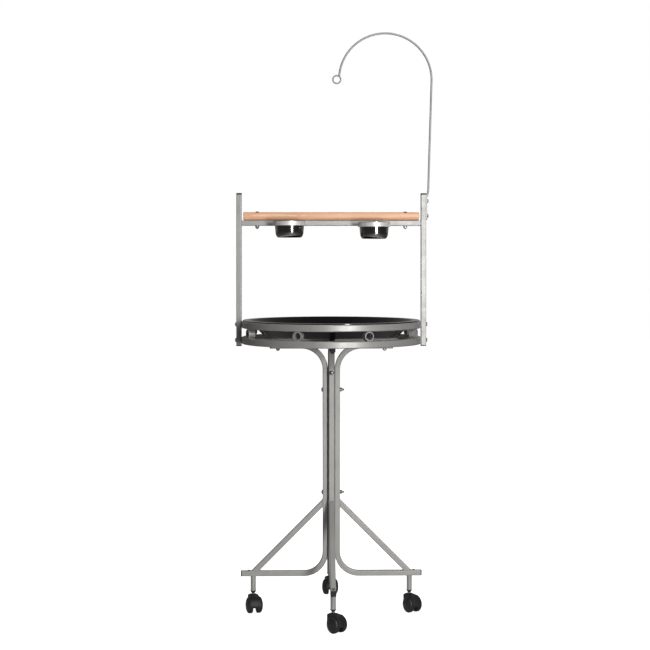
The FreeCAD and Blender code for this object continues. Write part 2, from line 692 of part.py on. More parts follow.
def holder_spacers():
    """Sleeves on the studs, between the bands and the rail."""
    sleeves = []
    for side, sign in CUP_SIGN.items():
        x = sign * CUP_X
        start = Vector(x, CUP_Y + HOLDER_INNER, stud_level())
        end = Vector(x, -FRAME_TUBE / 2, stud_level())
        sleeve = rod(SLEEVE_RADIUS, start, end).cut(rod(BOLT_HOLE, start, end))
        below = Vector(x, CUP_Y, stud_level() - 2 * HOLDER_BAND)
        band = Part.makeCylinder(HOLDER_OUTER, 4 * HOLDER_BAND, below)
        # notched where the cup's rim stands out of the band
        rim_level = RAIL_TOP + HOLDER_TOP[side] - RIM_CLEARANCE
        rim_radius = CUP_RADIUS + CUP_LIP + RIM_CLEARANCE
        rim = Part.makeCylinder(rim_radius, 4 * HOLDER_BAND, Vector(x, CUP_Y, rim_level))
        sleeves.append(sleeve.cut([band, rim]).Solids[0])
    return sleeves


def wing_nut():
    """Hub with two wings, its seat at z = 0."""
    hub = Part.makeCone(5.5, 4.2, 8.0)
    wings = []
    for sign in (-1, 1):
        outline_points = [
            Vector(sign * 3.0, -1.1, 1.5),
            Vector(sign * 8.0, -1.1, 4.0),
            Vector(sign * 14.0, -1.1, 9.0),
            Vector(sign * 14.5, -1.1, 14.0),
            Vector(sign * 10.5, -1.1, 15.0),
            Vector(sign * 4.0, -1.1, 8.0),
        ]
        wings.append(Part.Face(Part.Wire(outline(outline_points))).extrude(Vector(0, 2.2, 0)))
    hole = Part.makeCylinder(BOLT_RADIUS + THREAD_FIT, 20.0)
    return joined([hub] + wings).cut(hole).Solids[0]


def wing_nuts():
    nuts = []
    for sign in CUP_SIGN.values():
        seat = Vector(sign * CUP_X, FRAME_TUBE / 2, stud_level())
        nuts.append(placed(wing_nut(), seat, Y))
    return nuts


# ---- toy hook ----
def hook_points():
    """Joints of the rod's path in the XZ plane, and the centre of its arc."""
    lean = math.radians(HOOK_LEAN)
    along = Vector(math.sin(lean), 0, math.cos(lean))
    outwards = Vector(math.cos(lean), 0, -math.sin(lean))
    root = Vector(UPRIGHT_FACE + HOOK_ROD + 0.1, 0, UPRIGHT_TOP - 6.0)
    jog_start = root.add(Z * 2.0)
    jog_end = Vector(UPRIGHT_FACE + HOOK_FLAT / 2 + HOOK_JOG, 0, UPRIGHT_TOP + 12.0)
    shoulder = jog_end.add(along * HOOK_RISE)
    centre = shoulder.sub(outwards * HOOK_ARC)
    return root, jog_start, jog_end, shoulder, centre


def arc_point(centre, angle):
    """Point on the hook's arc, its angle in degrees up from +X."""
    turn = math.radians(angle)
    return centre.add(Vector(HOOK_ARC * math.cos(turn), 0, HOOK_ARC * math.sin(turn)))


def ring_centre():
    """Centre of the toy ring: the end of the rod meets the ring's upper right."""
    centre = hook_points()[4]
    tip = arc_point(centre, 180 - HOOK_END_ANGLE)
    direction = math.radians(235.0)
    reach = TOY_RING_RADIUS + TOY_RING_WIRE * 0.4
    return tip.add(Vector(reach * math.cos(direction), 0, reach * math.sin(direction)))


def toy_ring():
    return Part.makeTorus(TOY_RING_RADIUS, TOY_RING_WIRE, ring_centre(), Y)


def hook_rod():
    """Round rod with a flattened, drilled end, a small jog and a long arc."""
    root, jog_start, jog_end, shoulder, centre = hook_points()
    route = Part.Wire([
        line(root, jog_start),
        line(jog_start, jog_end),
        line(jog_end, shoulder),
        arc(shoulder, arc_point(centre, 90), arc_point(centre, 180 - HOOK_END_ANGLE)),
    ])
    profile = Part.Wire(Part.Circle(root, Z, HOOK_ROD).toShape())
    builder = Part.BRepOffsetAPI.MakePipeShell(route)
    builder.setTransitionMode(2)
    builder.add(profile)
    builder.build()
    builder.makeSolid()
    round_part = Part.Solid(builder.shape())
    top = UPRIGHT_TOP + HOOK_FLAT_TOP
    low = top - HOOK_FLAT_LENGTH
    half = HOOK_FLAT_WIDTH / 2
    flat = box(UPRIGHT_FACE, UPRIGHT_FACE + HOOK_FLAT, -half, half, low, top)
    corners = [e for e in flat.Edges if abs(e.Vertexes[0].Z - e.Vertexes[1].Z) < 1e-6
               and abs(e.Vertexes[0].X - e.Vertexes[1].X) > 1]
    flat = flat.makeFillet(half * 0.7, corners)
    drills = []
    for seat in hook_seats():
        drills.append(rod(BOLT_HOLE, seat.sub(X), seat.add(X * (2 * HOOK_FLAT))))
    whole = flat.fuse(round_part).removeSplitter()
    return whole.cut(drills).cut(toy_ring()).Solids[0]


def hook_screws():
    length = HOOK_FLAT + FRAME_WALL + NUT_HEIGHT + WELD_NUT_TAIL
    seats = [seat.add(X * HOOK_FLAT) for seat in hook_seats()]
    return [placed(bolt(length), seat, X) for seat in seats]


# ---- casters, built at the origin: stem on the Z axis, axle behind it at -Y ----
def at_caster(shape, side):
    local = turned(shape, SWIVEL[side])
    turn = math.radians(LEG_TURNS[side])
    return moved(local, CASTER_REACH * math.cos(turn), CASTER_REACH * math.sin(turn))


def caster_stems():
    bottom = HOOD_TOP - STEM_IN_HOOD
    stem = Part.makeCylinder(STEM_RADIUS, STEM_TUBE_BOTTOM + STEM_IN_TUBE - bottom, Vector(0, 0, bottom))
    return [at_caster(stem, side) for side in SWIVEL]


def caster_collars():
    """Plastic sockets in the stem tubes, with a tapered collar below each tube."""
    bore = STEM_RADIUS + RUNNING_FIT
    sleeve = STEM_TUBE_RADIUS - STEM_TUBE_WALL - PLUG_FIT
    lip = STEM_TUBE_RADIUS + COLLAR_LIP
    top = STEM_TUBE_BOTTOM
    profile = [
        Vector(bore, 0, COLLAR_BOTTOM),
        Vector(bore + 0.8, 0, COLLAR_BOTTOM),
        Vector(lip, 0, top - 1.6),
        Vector(lip, 0, top),
        Vector(sleeve, 0, top),
        Vector(sleeve, 0, top + STEM_IN_TUBE),
        Vector(bore, 0, top + STEM_IN_TUBE),
    ]
    collar = revolved(outline(profile))
    return [at_caster(collar, side) for side in SWIVEL]


def caster_hood():
    """Fender over both wheels, web between them and boss around the stem, in one moulding."""
    axle = Vector(0, -CASTER_TRAIL, WHEEL_RADIUS)
    radius = WHEEL_RADIUS + WHEEL_GAP + HOOD_WALL
    skirt = math.radians(HOOD_SKIRT_ANGLE)

    def on_fender(angle):
        return axle.add(Vector(0, -radius * math.cos(angle), radius * math.sin(angle)))

    boss_back = Vector(0, -STEM_RADIUS - 3.5, HOOD_TOP)
    boss_front = Vector(0, STEM_RADIUS + 2.5, HOOD_TOP)
    brow = Vector(0, HOOD_NOSE, HOOD_TOP - 11.0)
    bulge = Vector(0, (boss_front.y + HOOD_NOSE) / 2 + 0.9, HOOD_TOP - 3.6)
    nose_low = on_fender(math.pi)
    side_view = [
        arc(on_fender(-skirt), on_fender(math.radians(40)), on_fender(math.radians(88))),
        line(on_fender(math.radians(88)), boss_back),
        line(boss_back, boss_front),
        arc(boss_front, bulge, brow),
        line(brow, nose_low),
        arc(nose_low, on_fender(math.pi + skirt / 2), on_fender(math.pi + skirt)),
        line(on_fender(math.pi + skirt), on_fender(-skirt)),
    ]
    blank = Part.Face(Part.Wire(side_view)).extrude(X * (2 * HOOD_HALF_WIDTH))
    blank.translate(X * -HOOD_HALF_WIDTH)
    half, ridge = HOOD_HALF_WIDTH, STEM_RADIUS + 1.5
    eaves = WHEEL_RADIUS * 2 + WHEEL_GAP + HOOD_EAVES
    roof_depth = 4 * WHEEL_RADIUS
    left, right = Vector(-half, -roof_depth, eaves), Vector(half, -roof_depth, eaves)
    left_ridge = Vector(-ridge, -roof_depth, HOOD_TOP)
    right_ridge = Vector(ridge, -roof_depth, HOOD_TOP)
    rise = (HOOD_TOP - eaves) * 0.62
    middle = (half + ridge) / 2
    front_view = [
        line(Vector(-half, -roof_depth, 0), left),
        arc(left, Vector(-middle, -roof_depth, eaves + rise), left_ridge),
        line(left_ridge, right_ridge),
        arc(right_ridge, Vector(middle, -roof_depth, eaves + rise), right),
        line(right, Vector(half, -roof_depth, 0)),
        line(Vector(half, -roof_depth, 0), Vector(-half, -roof_depth, 0)),
    ]
    roof = Part.Face(Part.Wire(front_view)).extrude(Y * (2 * roof_depth))
    cuts = []
    for sign in (-1, 1):
        start = axle.add(X * (sign * HOOD_WEB))
        end = axle.add(X * (sign * 2 * HOOD_HALF_WIDTH))
        cuts.append(rod(WHEEL_RADIUS + WHEEL_GAP, start, end))
    reach = X * HOOD_HALF_WIDTH
    cuts.append(rod(AXLE_RADIUS + RUNNING_FIT, axle.sub(reach), axle.add(reach)))
    bore_bottom = HOOD_TOP - STEM_IN_HOOD - 1.0
    cuts.append(rod(STEM_RADIUS + RUNNING_FIT, Vector(0, 0, bore_bottom), Vector(0, 0, HOOD_TOP + 1)))
    return blank.common(roof).cut(cuts).Solids[0]


def caster_axle():
    axle = Vector(0, -CASTER_TRAIL, WHEEL_RADIUS)
    return rod(AXLE_RADIUS, axle.sub(X * AXLE_REACH), axle.add(X * AXLE_REACH))


def caster_wheel(sign):
    """Plastic wheel with a flat tread and a domed outer face, on its own side of the web."""
    bore = AXLE_RADIUS + RUNNING_FIT
    bore_end = AXLE_REACH + 0.5
    edge = WHEEL_EDGE
    inner, outer, radius = WHEEL_INNER_X, WHEEL_OUTER_X, WHEEL_RADIUS
    tread_start = Vector(inner + edge, 0, radius)
    tread_end = Vector(inner + edge + WHEEL_TREAD_WIDTH, 0, radius)
    dome = outer - tread_end.x
    shoulder = Vector(tread_end.x + dome * 0.62, 0, radius * 0.80)
    cap_edge = Vector(outer - 0.3, 0, radius * 0.34)
    diagonal = edge * (1 - math.sqrt(0.5))
    profile = [
        line(Vector(inner, 0, bore), Vector(inner, 0, radius - edge)),
        arc(Vector(inner, 0, radius - edge), Vector(inner + diagonal, 0, radius - diagonal), tread_start),
        line(tread_start, tread_end),
        arc(tread_end, Vector(tread_end.x + dome * 0.34, 0, radius * 0.945), shoulder),
        arc(shoulder, Vector(tread_end.x + dome * 0.87, 0, radius * 0.57), cap_edge),
        line(cap_edge, Vector(outer, 0, radius * 0.3)),
        line(Vector(outer, 0, radius * 0.3), Vector(outer, 0, 0)),
        line(Vector(outer, 0, 0), Vector(bore_end, 0, 0)),
        line(Vector(bore_end, 0, 0), Vector(bore_end, 0, bore)),
        line(Vector(bore_end, 0, bore), Vector(inner, 0, bore)),
    ]
    wheel = revolved(profile, 360, X)
    if sign < 0:
        wheel = turned(wheel, 180, Z)
    return moved(wheel, 0, -CASTER_TRAIL, WHEEL_RADIUS)


def export(name, shapes):
    """Writes one node; identical pieces share a file as separate solids."""
    if not isinstance(shapes, list):
        shapes = [shapes]
    shape = shapes[0] if len(shapes) == 1 else Part.makeCompound(shapes)
    solids = shape.Solids
    assert len(solids) == len(shapes), name
    assert all(solid.isValid() and solid.Volume > 0 for solid in solids), name
    shape.exportStep("parts/" + name + ".step")
    total = sum(solid.Volume for solid in solids)
    print(name, len(solids), "solids", round(total / 1000, 2), "cm3")


os.makedirs("parts", exist_ok=True)

export("centre_post", centre_post())
for side in LEG_TURNS:
    export("leg_" + side, leg(side))
    export("brace_" + side, brace(side))
export("stem_tubes", stem_tubes())
export("leg_plugs", leg_plugs())
export("foot_screws", foot_screws())
export("column_bolts", column_bolts())
export("washers", column_washers() + perch_washers())
export("nuts", column_nuts() + arm_nuts() + perch_nuts())

export("lower_ring", ring(LOWER_RING_MIDDLE))
export("upper_ring", ring(UPPER_RING_MIDDLE))
export("ring_spacers", ring_spacers())
export("cross_bar_long", long_cross_bar())
export("cross_bar_front", cross_bar(FRAME_TUBE / 2, LEG_TURNS["front"]))
export("cross_bar_rear", cross_bar(FRAME_TUBE / 2, LEG_TURNS["rear"]))
export("arm_bolts", arm_bolts())
export("tray", tray())

export("upright_left", upright("left"))
export("upright_right", upright("right"))
export("upright_plugs", upright_plugs())
export("upright_bolts", upright_bolts())
export("weld_nuts", weld_nuts())
export("perch_rail", perch_rail())
export("perch", perch())
export("perch_bolts", perch_bolts())

for side in CUP_SIGN:
    export("cup_" + side, cup(side))
    export("cup_holder_" + side, cup_holder(side))
export("holder_spacers", holder_spacers())
export("wing_nuts", wing_nuts())

export("hook_rod", hook_rod())
export("toy_ring", toy_ring())
export("hook_screws", hook_screws())

export("caster_stems", caster_stems())
export("caster_collars", caster_collars())
for side in SWIVEL:
    export("caster_hood_" + side, at_caster(caster_hood(), side))
    export("caster_axle_" + side, at_caster(caster_axle(), side))
    export("wheel_" + side + "_a", at_caster(caster_wheel(-1), side))
    export("wheel_" + side + "_b", at_caster(caster_wheel(1), side))
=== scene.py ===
import math

import bmesh
import bpy
from mathutils import Matrix, Vector


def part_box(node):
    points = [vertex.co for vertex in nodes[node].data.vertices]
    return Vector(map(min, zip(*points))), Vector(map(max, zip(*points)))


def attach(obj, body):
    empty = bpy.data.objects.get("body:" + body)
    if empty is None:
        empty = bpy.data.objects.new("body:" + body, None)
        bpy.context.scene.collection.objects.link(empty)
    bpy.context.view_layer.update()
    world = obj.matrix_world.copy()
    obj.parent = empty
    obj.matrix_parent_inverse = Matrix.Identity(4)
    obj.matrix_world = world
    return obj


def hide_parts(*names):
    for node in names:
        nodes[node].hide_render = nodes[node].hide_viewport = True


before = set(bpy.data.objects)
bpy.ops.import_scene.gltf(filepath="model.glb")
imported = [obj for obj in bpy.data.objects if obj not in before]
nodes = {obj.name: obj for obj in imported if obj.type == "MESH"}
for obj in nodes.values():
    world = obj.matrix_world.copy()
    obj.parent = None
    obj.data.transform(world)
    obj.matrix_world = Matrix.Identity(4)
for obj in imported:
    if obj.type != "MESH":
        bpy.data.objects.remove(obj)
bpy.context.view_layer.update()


# ---- the view ----
# The camera stands 4.25 m in front of the stand, a little to its left, and 1.05 m up.
# It is level, and the picture is moved down, so that the uprights stay parallel.
VIEW_DISTANCE = 4.245
VIEW_HEIGHT = 1.0548
VIEW_TURN = math.radians(-1.3)
camera_data = bpy.data.cameras.new("camera")
camera_data.lens = 78.37
camera_data.sensor_width = 36
camera_data.shift_x = -0.0097
camera_data.shift_y = -0.1009
camera_data.clip_end = 60
camera = bpy.data.objects.new("camera", camera_data)
camera.location = (
    VIEW_DISTANCE * math.sin(VIEW_TURN), -VIEW_DISTANCE * math.cos(VIEW_TURN), VIEW_HEIGHT)
camera.rotation_euler = (math.pi / 2, 0, VIEW_TURN)
bpy.context.scene.collection.objects.link(camera)
bpy.context.scene.camera = camera
bpy.context.scene.view_settings.view_transform = "Standard"


# ---- floor and light ----
# A plain pale floor in a studio that is dark at the front and grey at the back. A tall soft key
# light stands at the front right, with weaker ones high at the front and behind at the left.
# Floor and room look white to the camera, and darker to light and reflections.
KEY_PLACE, KEY_POWER = (1.2, -3.6, 1.25), 116
FILL_PLACE, FILL_POWER = (0.9, -2.5, 3.1), 34
BACK_PLACE, BACK_POWER = (-2.0, 3.2, 2.6), 45
ROOM_FRONT = (0.035, 0.035, 0.036, 1)
ROOM_BACK = (0.30, 0.30, 0.297, 1)
CEILING_TONE = 0.16
FLOOR_HALF = 14.0
SWEEP_NEAR, SWEEP_FAR = 0.8, 1.7      # how far out the floor stays pale to light
SWEEP_PALE, SWEEP_DARK = 0.62, 0.16
FLOOR_SEEN, FLOOR_GLOW = 0.93, 0.84   # what the camera sees


def wire(tree, source, target):
    """Links two sockets, each given as a node and its socket's name or number."""
    return tree.links.new(source[0].outputs[source[1]], target[0].inputs[target[1]])


world = bpy.data.worlds.new("studio")
bpy.context.scene.world = world
world.use_nodes = True
sky = world.node_tree
sky.nodes.clear()
sky_out = sky.nodes.new("ShaderNodeOutputWorld")
seen_or_lit = sky.nodes.new("ShaderNodeMixShader")
ray_kind = sky.nodes.new("ShaderNodeLightPath")
white_wall = sky.nodes.new("ShaderNodeBackground")
white_wall.inputs["Color"].default_value = (1, 1, 1, 1)
room = sky.nodes.new("ShaderNodeBackground")
direction = sky.nodes.new("ShaderNodeTexCoord")
split = sky.nodes.new("ShaderNodeSeparateXYZ")
depth = sky.nodes.new("ShaderNodeMapRange")
depth.inputs["From Min"].default_value = 0.0
depth.inputs["From Max"].default_value = 0.85
room_tones = sky.nodes.new("ShaderNodeValToRGB")
room_tones.color_ramp.elements[0].color = ROOM_FRONT
room_tones.color_ramp.elements[1].color = ROOM_BACK
ceiling = sky.nodes.new("ShaderNodeMapRange")
ceiling.inputs["From Min"].default_value = 0.2
ceiling.inputs["From Max"].default_value = 0.8
ceiling.inputs["To Max"].default_value = CEILING_TONE
lift = sky.nodes.new("ShaderNodeMix")
lift.data_type = "RGBA"
lift.blend_type = "ADD"
lift.inputs["Factor"].default_value = 1.0
wire(sky, (direction, "Generated"), (split, 0))
wire(sky, (split, "Y"), (depth, "Value"))
wire(sky, (split, "Z"), (ceiling, "Value"))
wire(sky, (depth, "Result"), (room_tones, "Fac"))
wire(sky, (room_tones, "Color"), (lift, 6))
wire(sky, (ceiling, "Result"), (lift, 7))
wire(sky, (lift, 2), (room, "Color"))
wire(sky, (ray_kind, "Is Camera Ray"), (seen_or_lit, "Fac"))
wire(sky, (room, 0), (seen_or_lit, 1))
wire(sky, (white_wall, 0), (seen_or_lit, 2))
wire(sky, (seen_or_lit, 0), (sky_out, "Surface"))


def soft_light(name, place, aim, size, power):
    """Rectangular soft light, turned to face a point."""
    data = bpy.data.lights.new(name, "AREA")
    data.shape = "RECTANGLE"
    data.size, data.size_y = size
    data.energy = power
    light = bpy.data.objects.new(name, data)
    light.location = place
    light.rotation_euler = (Vector(aim) - Vector(place)).to_track_quat("-Z", "Y").to_euler()
    bpy.context.scene.collection.objects.link(light)
    return light


soft_light("key_light", KEY_PLACE, (0, 0, 0.8), (0.36, 1.9), KEY_POWER)
soft_light("fill_light", FILL_PLACE, (0, 0, 0.6), (1.2, 0.8), FILL_POWER)
back_light = soft_light("back_light", BACK_PLACE, (0, 0, 0.7), (1.4, 1.4), BACK_POWER)
back_light.visible_glossy = False     # it would stand as a spot in the tray

floor_mesh = bpy.data.meshes.new("floor")
corners = [(FLOOR_HALF * x, FLOOR_HALF * y, 0) for x, y in ((-1, -1), (1, -1), (1, 1), (-1, 1))]
floor_mesh.from_pydata(corners, [], [(0, 1, 2, 3)])
floor = bpy.data.objects.new("floor", floor_mesh)
bpy.context.scene.collection.objects.link(floor)
floor_paint = bpy.data.materials.new("floor_white")
floor_paint.use_nodes = True
tree = floor_paint.node_tree
shader = tree.nodes["Principled BSDF"]
shader.inputs["Roughness"].default_value = 0.9
shader.inputs["Specular IOR Level"].default_value = 0.0
shader.inputs["Emission Color"].default_value = (1, 1, 1, 1)
ray_kind = tree.nodes.new("ShaderNodeLightPath")
place = tree.nodes.new("ShaderNodeTexCoord")
reach = tree.nodes.new("ShaderNodeVectorMath")
reach.operation = "LENGTH"
sweep = tree.nodes.new("ShaderNodeMapRange")
sweep.inputs["From Min"].default_value = SWEEP_NEAR
sweep.inputs["From Max"].default_value = SWEEP_FAR
sweep.inputs["To Min"].default_value = SWEEP_PALE
sweep.inputs["To Max"].default_value = SWEEP_DARK
paint = tree.nodes.new("ShaderNodeMapRange")
paint.inputs["To Max"].default_value = FLOOR_SEEN
glow = tree.nodes.new("ShaderNodeMapRange")
glow.inputs["To Max"].default_value = FLOOR_GLOW
wire(tree, (place, "Object"), (reach, 0))
wire(tree, (reach, "Value"), (sweep, "Value"))
wire(tree, (sweep, "Result"), (paint, "To Min"))
wire(tree, (ray_kind, "Is Camera Ray"), (paint, "Value"))
wire(tree, (paint, "Result"), (shader, "Base Color"))
wire(tree, (ray_kind, "Is Camera Ray"), (glow, "Value"))
wire(tree, (glow, "Result"), (shader, "Emission Strength"))
floor_mesh.materials.append(floor_paint)


# ---- casters ----
# Four twin-wheel swivel casters. A black moulded hood turns on a steel stem, which sits in a
# plastic socket pushed into the stem tube, and two nylon wheels turn on the axle through it.
SIDES = ("left", "right", "front", "rear")


def value_group(name, inputs, outputs):
    """Empty shader group with named inputs (name, default) and outputs (name, kind)."""
    group = bpy.data.node_groups.new(name, "ShaderNodeTree")
    for label, default in inputs:
        kind = "NodeSocketColor" if isinstance(default, tuple) else "NodeSocketFloat"
        group.interface.new_socket(label, in_out="INPUT", socket_type=kind).default_value = default
    for label, kind in outputs:
        group.interface.new_socket(label, in_out="OUTPUT", socket_type="NodeSocket" + kind)
    return group, group.nodes.new("NodeGroupInput"), group.nodes.new("NodeGroupOutput")


def noise_node(tree, scale=1.0, detail=4.0, roughness=0.5):
    noise = tree.nodes.new("ShaderNodeTexNoise")
    noise.inputs["Scale"].default_value = scale
    noise.inputs["Detail"].default_value = detail
    noise.inputs["Roughness"].default_value = roughness
    return noise


def range_node(tree, low, high, to_low=0.0, to_high=1.0):
    ramp = tree.nodes.new("ShaderNodeMapRange")
    for label, number in (
            ("From Min", low), ("From Max", high), ("To Min", to_low), ("To Max", to_high)):
        ramp.inputs[label].default_value = number
    return ramp


def mix_node(tree, blend="MIX", factor=1.0):
    mix = tree.nodes.new("ShaderNodeMix")
    mix.data_type = "RGBA"
    mix.blend_type = blend
    mix.inputs["Factor"].default_value = factor
    return mix


# a base colour that drifts between two shades over the piece, with fine specks in it
tone_group, tone_in, tone_out = value_group(
    "drifting_tone",
    [("Light", (0.8, 0.8, 0.8, 1)), ("Dark", (0.6, 0.6, 0.6, 1)), ("Scale", 12.0),
     ("Specks", 0.3)],
    [("Color", "Color")])
place = tone_group.nodes.new("ShaderNodeTexCoord")
cloud = noise_node(tone_group, 1.0, 5.0, 0.55)
specks = noise_node(tone_group, 1100.0, 2.0, 0.6)
cloud_level = range_node(tone_group, 0.32, 0.68)
speck_level = range_node(tone_group, 0.35, 0.65)
both = tone_group.nodes.new("ShaderNodeMix")
shade = mix_node(tone_group)
wire(tone_group, (place, "Object"), (cloud, "Vector"))
wire(tone_group, (place, "Object"), (specks, "Vector"))
wire(tone_group, (tone_in, "Scale"), (cloud, "Scale"))
wire(tone_group, (cloud, "Fac"), (cloud_level, "Value"))
wire(tone_group, (specks, "Fac"), (speck_level, "Value"))
wire(tone_group, (tone_in, "Specks"), (both, 0))
wire(tone_group, (cloud_level, "Result"), (both, 2))
wire(tone_group, (speck_level, "Result"), (both, 3))
wire(tone_group, (both, 0), (shade, 0))
wire(tone_group, (tone_in, "Dark"), (shade, 6))
wire(tone_group, (tone_in, "Light"), (shade, 7))
wire(tone_group, (shade, 2), (tone_out, "Color"))

# fine bumps, and a roughness that changes in larger patches
skin_group, skin_in, skin_out = value_group(
    "coated_skin",
    [("Bump scale", 700.0), ("Bump height", 0.3), ("Smooth", 0.35), ("Dull", 0.55),
     ("Patch scale", 25.0)],
    [("Roughness", "Float"), ("Normal", "Vector")])
place = skin_group.nodes.new("ShaderNodeTexCoord")
peel = noise_node(skin_group, 1.0, 2.0, 0.5)
patches = noise_node(skin_group, 1.0, 4.0, 0.6)
patch_level = range_node(skin_group, 0.3, 0.7)
bumps = skin_group.nodes.new("ShaderNodeBump")
bumps.inputs["Distance"].default_value = 0.0004
wire(skin_group, (place, "Object"), (peel, "Vector"))
wire(skin_group, (place, "Object"), (patches, "Vector"))
wire(skin_group, (skin_in, "Bump scale"), (peel, "Scale"))
wire(skin_group, (skin_in, "Patch scale"), (patches, "Scale"))
wire(skin_group, (patches, "Fac"), (patch_level, "Value"))
wire(skin_group, (skin_in, "Smooth"), (patch_level, "To Min"))
wire(skin_group, (skin_in, "Dull"), (patch_level, "To Max"))
wire(skin_group, (peel, "Fac"), (bumps, "Height"))
wire(skin_group, (skin_in, "Bump height"), (bumps, "Strength"))
wire(skin_group, (patch_level, "Result"), (skin_out, "Roughness"))
wire(skin_group, (bumps, "Normal"), (skin_out, "Normal"))

# where an edge is convex: a lighter colour there is rubbed paint and a painted highlight
edge_group, edge_in, edge_out = value_group(
    "worn_and_highlit_edge", [("Width", 0.001), ("Amount", 0.5), ("Breakup scale", 120.0)],
    [("Mask", "Float")])
form = edge_group.nodes.new("ShaderNodeNewGeometry")
rounded = edge_group.nodes.new("ShaderNodeBevel")
rounded.samples = 4
apart = edge_group.nodes.new("ShaderNodeVectorMath")
apart.operation = "DOT_PRODUCT"
place = edge_group.nodes.new("ShaderNodeTexCoord")
breakup = noise_node(edge_group, 1.0, 3.0, 0.6)
# convex edges found here get a lighter colour: partly rubbed paint, partly a painted highlight
edge_level = range_node(edge_group, 0.995, 0.90)
breakup_level = range_node(edge_group, 0.42, 0.62)
wear_and_highlight_mask = edge_group.nodes.new("ShaderNodeMath")
wear_and_highlight_mask.operation = "MULTIPLY"
scaled = edge_group.nodes.new("ShaderNodeMath")
scaled.operation = "MULTIPLY"
wire(edge_group, (edge_in, "Width"), (rounded, "Radius"))
wire(edge_group, (rounded, "Normal"), (apart, 0))
wire(edge_group, (form, "Normal"), (apart, 1))
wire(edge_group, (apart, "Value"), (edge_level, "Value"))
wire(edge_group, (place, "Object"), (breakup, "Vector"))
wire(edge_group, (edge_in, "Breakup scale"), (breakup, "Scale"))
wire(edge_group, (breakup, "Fac"), (breakup_level, "Value"))
wire(edge_group, (edge_level, "Result"), (wear_and_highlight_mask, 0))
wire(edge_group, (breakup_level, "Result"), (wear_and_highlight_mask, 1))
wire(edge_group, (wear_and_highlight_mask, 0), (scaled, 0))
wire(edge_group, (edge_in, "Amount"), (scaled, 1))
wire(edge_group, (scaled, 0), (edge_out, "Mask"))


def finish_of(name, light, dark, tone_scale, specks, skin, metallic=0.0, specular=0.5,
              edge_wear_and_highlight=None):
    """Principled material with a drifting tone, a bumpy skin and, if given, lighter convex edges.

    skin is bump scale, bump height, smoothest, dullest and patch scale; the last argument is the
    lighter edge colour, for rubbed paint and a painted highlight, the edge's width and the amount.
    """
    material = bpy.data.materials.new(name)
    material.use_nodes = True
    tree = material.node_tree
    shader = tree.nodes["Principled BSDF"]
    shader.inputs["Metallic"].default_value = metallic
    shader.inputs["Specular IOR Level"].default_value = specular
    tone = tree.nodes.new("ShaderNodeGroup")
    tone.node_tree = tone_group
    tone.inputs["Light"].default_value = (*light, 1)
    tone.inputs["Dark"].default_value = (*dark, 1)
    tone.inputs["Scale"].default_value = tone_scale
    tone.inputs["Specks"].default_value = specks
    surface = tree.nodes.new("ShaderNodeGroup")
    surface.node_tree = skin_group
    for label, number in zip(("Bump scale", "Bump height", "Smooth", "Dull", "Patch scale"), skin):
        surface.inputs[label].default_value = number
    wire(tree, (surface, "Roughness"), (shader, "Roughness"))
    wire(tree, (surface, "Normal"), (shader, "Normal"))
    if edge_wear_and_highlight is None:
        wire(tree, (tone, "Color"), (shader, "Base Color"))
        return material
    # lay the lighter edge colour on: partly rubbed paint, partly a painted highlight
    edge = tree.nodes.new("ShaderNodeGroup")
    edge.node_tree = edge_group
    edge.inputs["Width"].default_value = edge_wear_and_highlight[1]
    edge.inputs["Amount"].default_value = edge_wear_and_highlight[2]
    laid_over = mix_node(tree)
    laid_over.inputs[7].default_value = (*edge_wear_and_highlight[0], 1)
    wire(tree, (edge, "Mask"), (laid_over, 0))
    wire(tree, (tone, "Color"), (laid_over, 6))
    wire(tree, (laid_over, 2), (shader, "Base Color"))
    return material


def dress(names, material):
    """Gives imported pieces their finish."""
    for name in names:
        nodes[name].data.materials.clear()
        nodes[name].data.materials.append(material)


# the caster's lighter edge colour is partly rubbed wear, partly a painted highlight
caster_black = finish_of(
    "caster_black", (0.014, 0.014, 0.0145), (0.008, 0.008, 0.0085), 45.0, 0.3,
    (900.0, 0.22, 0.42, 0.58, 60.0), specular=0.3, edge_wear_and_highlight=((0.035, 0.035, 0.035), 0.0008, 0.6))
wheel_black = finish_of(
    "wheel_black", (0.018, 0.018, 0.018), (0.009, 0.009, 0.009), 70.0, 0.35,
    (1100.0, 0.25, 0.36, 0.55, 80.0), specular=0.4)
stem_steel = finish_of(
    "stem_steel", (0.5, 0.5, 0.5), (0.36, 0.36, 0.36), 90.0, 0.3,
    (1500.0, 0.1, 0.2, 0.36, 120.0), metallic=0.95)
dress(["caster_collars"], caster_black)
dress(["wheel_%s_%s" % (side, half) for side in SIDES for half in "ab"], wheel_black)
dress(["caster_axle_" + side for side in SIDES] + ["caster_stems"], stem_steel)


def welded_copy(name):
    """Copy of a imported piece's mesh with its doubles merged and its flat faces joined."""
    shape = bmesh.new()
    shape.from_mesh(nodes[name].data)
    bmesh.ops.remove_doubles(shape, verts=shape.verts, dist=0.00002)
    bmesh.ops.dissolve_limit(
        shape, angle_limit=math.radians(1.0), verts=shape.verts, edges=shape.edges)
    mesh = bpy.data.meshes.new(name)
    shape.to_mesh(mesh)
    shape.free()
    return mesh


def baked(name, piece):
    """Plain mesh object from one with live modifiers, which is removed."""
    seen = piece.evaluated_get(bpy.context.evaluated_depsgraph_get())
    mesh = bpy.data.meshes.new_from_object(seen)
    bpy.data.objects.remove(piece)
    mesh.name = name
    whole = bpy.data.objects.new(name, mesh)
    bpy.context.scene.collection.objects.link(whole)
    return whole


HOOD_EDGE = 0.0011                    # rounding of the moulding's edges
for side in SIDES:
    blank = bpy.data.objects.new("hood_blank", welded_copy("caster_hood_" + side))
    bpy.context.scene.collection.objects.link(blank)
    rounding = blank.modifiers.new("rounding", "BEVEL")
    rounding.width = HOOD_EDGE
    rounding.segments = 3
    rounding.limit_method = "ANGLE"
    rounding.angle_limit = math.radians(32)
    rounding.use_clamp_overlap = True
    hood = baked("hood_" + side, blank)
    hood.data.shade_smooth()
    hood.data.materials.clear()
    hood.data.materials.append(caster_black)
    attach(hood, "caster_" + side)
    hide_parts("caster_hood_" + side)
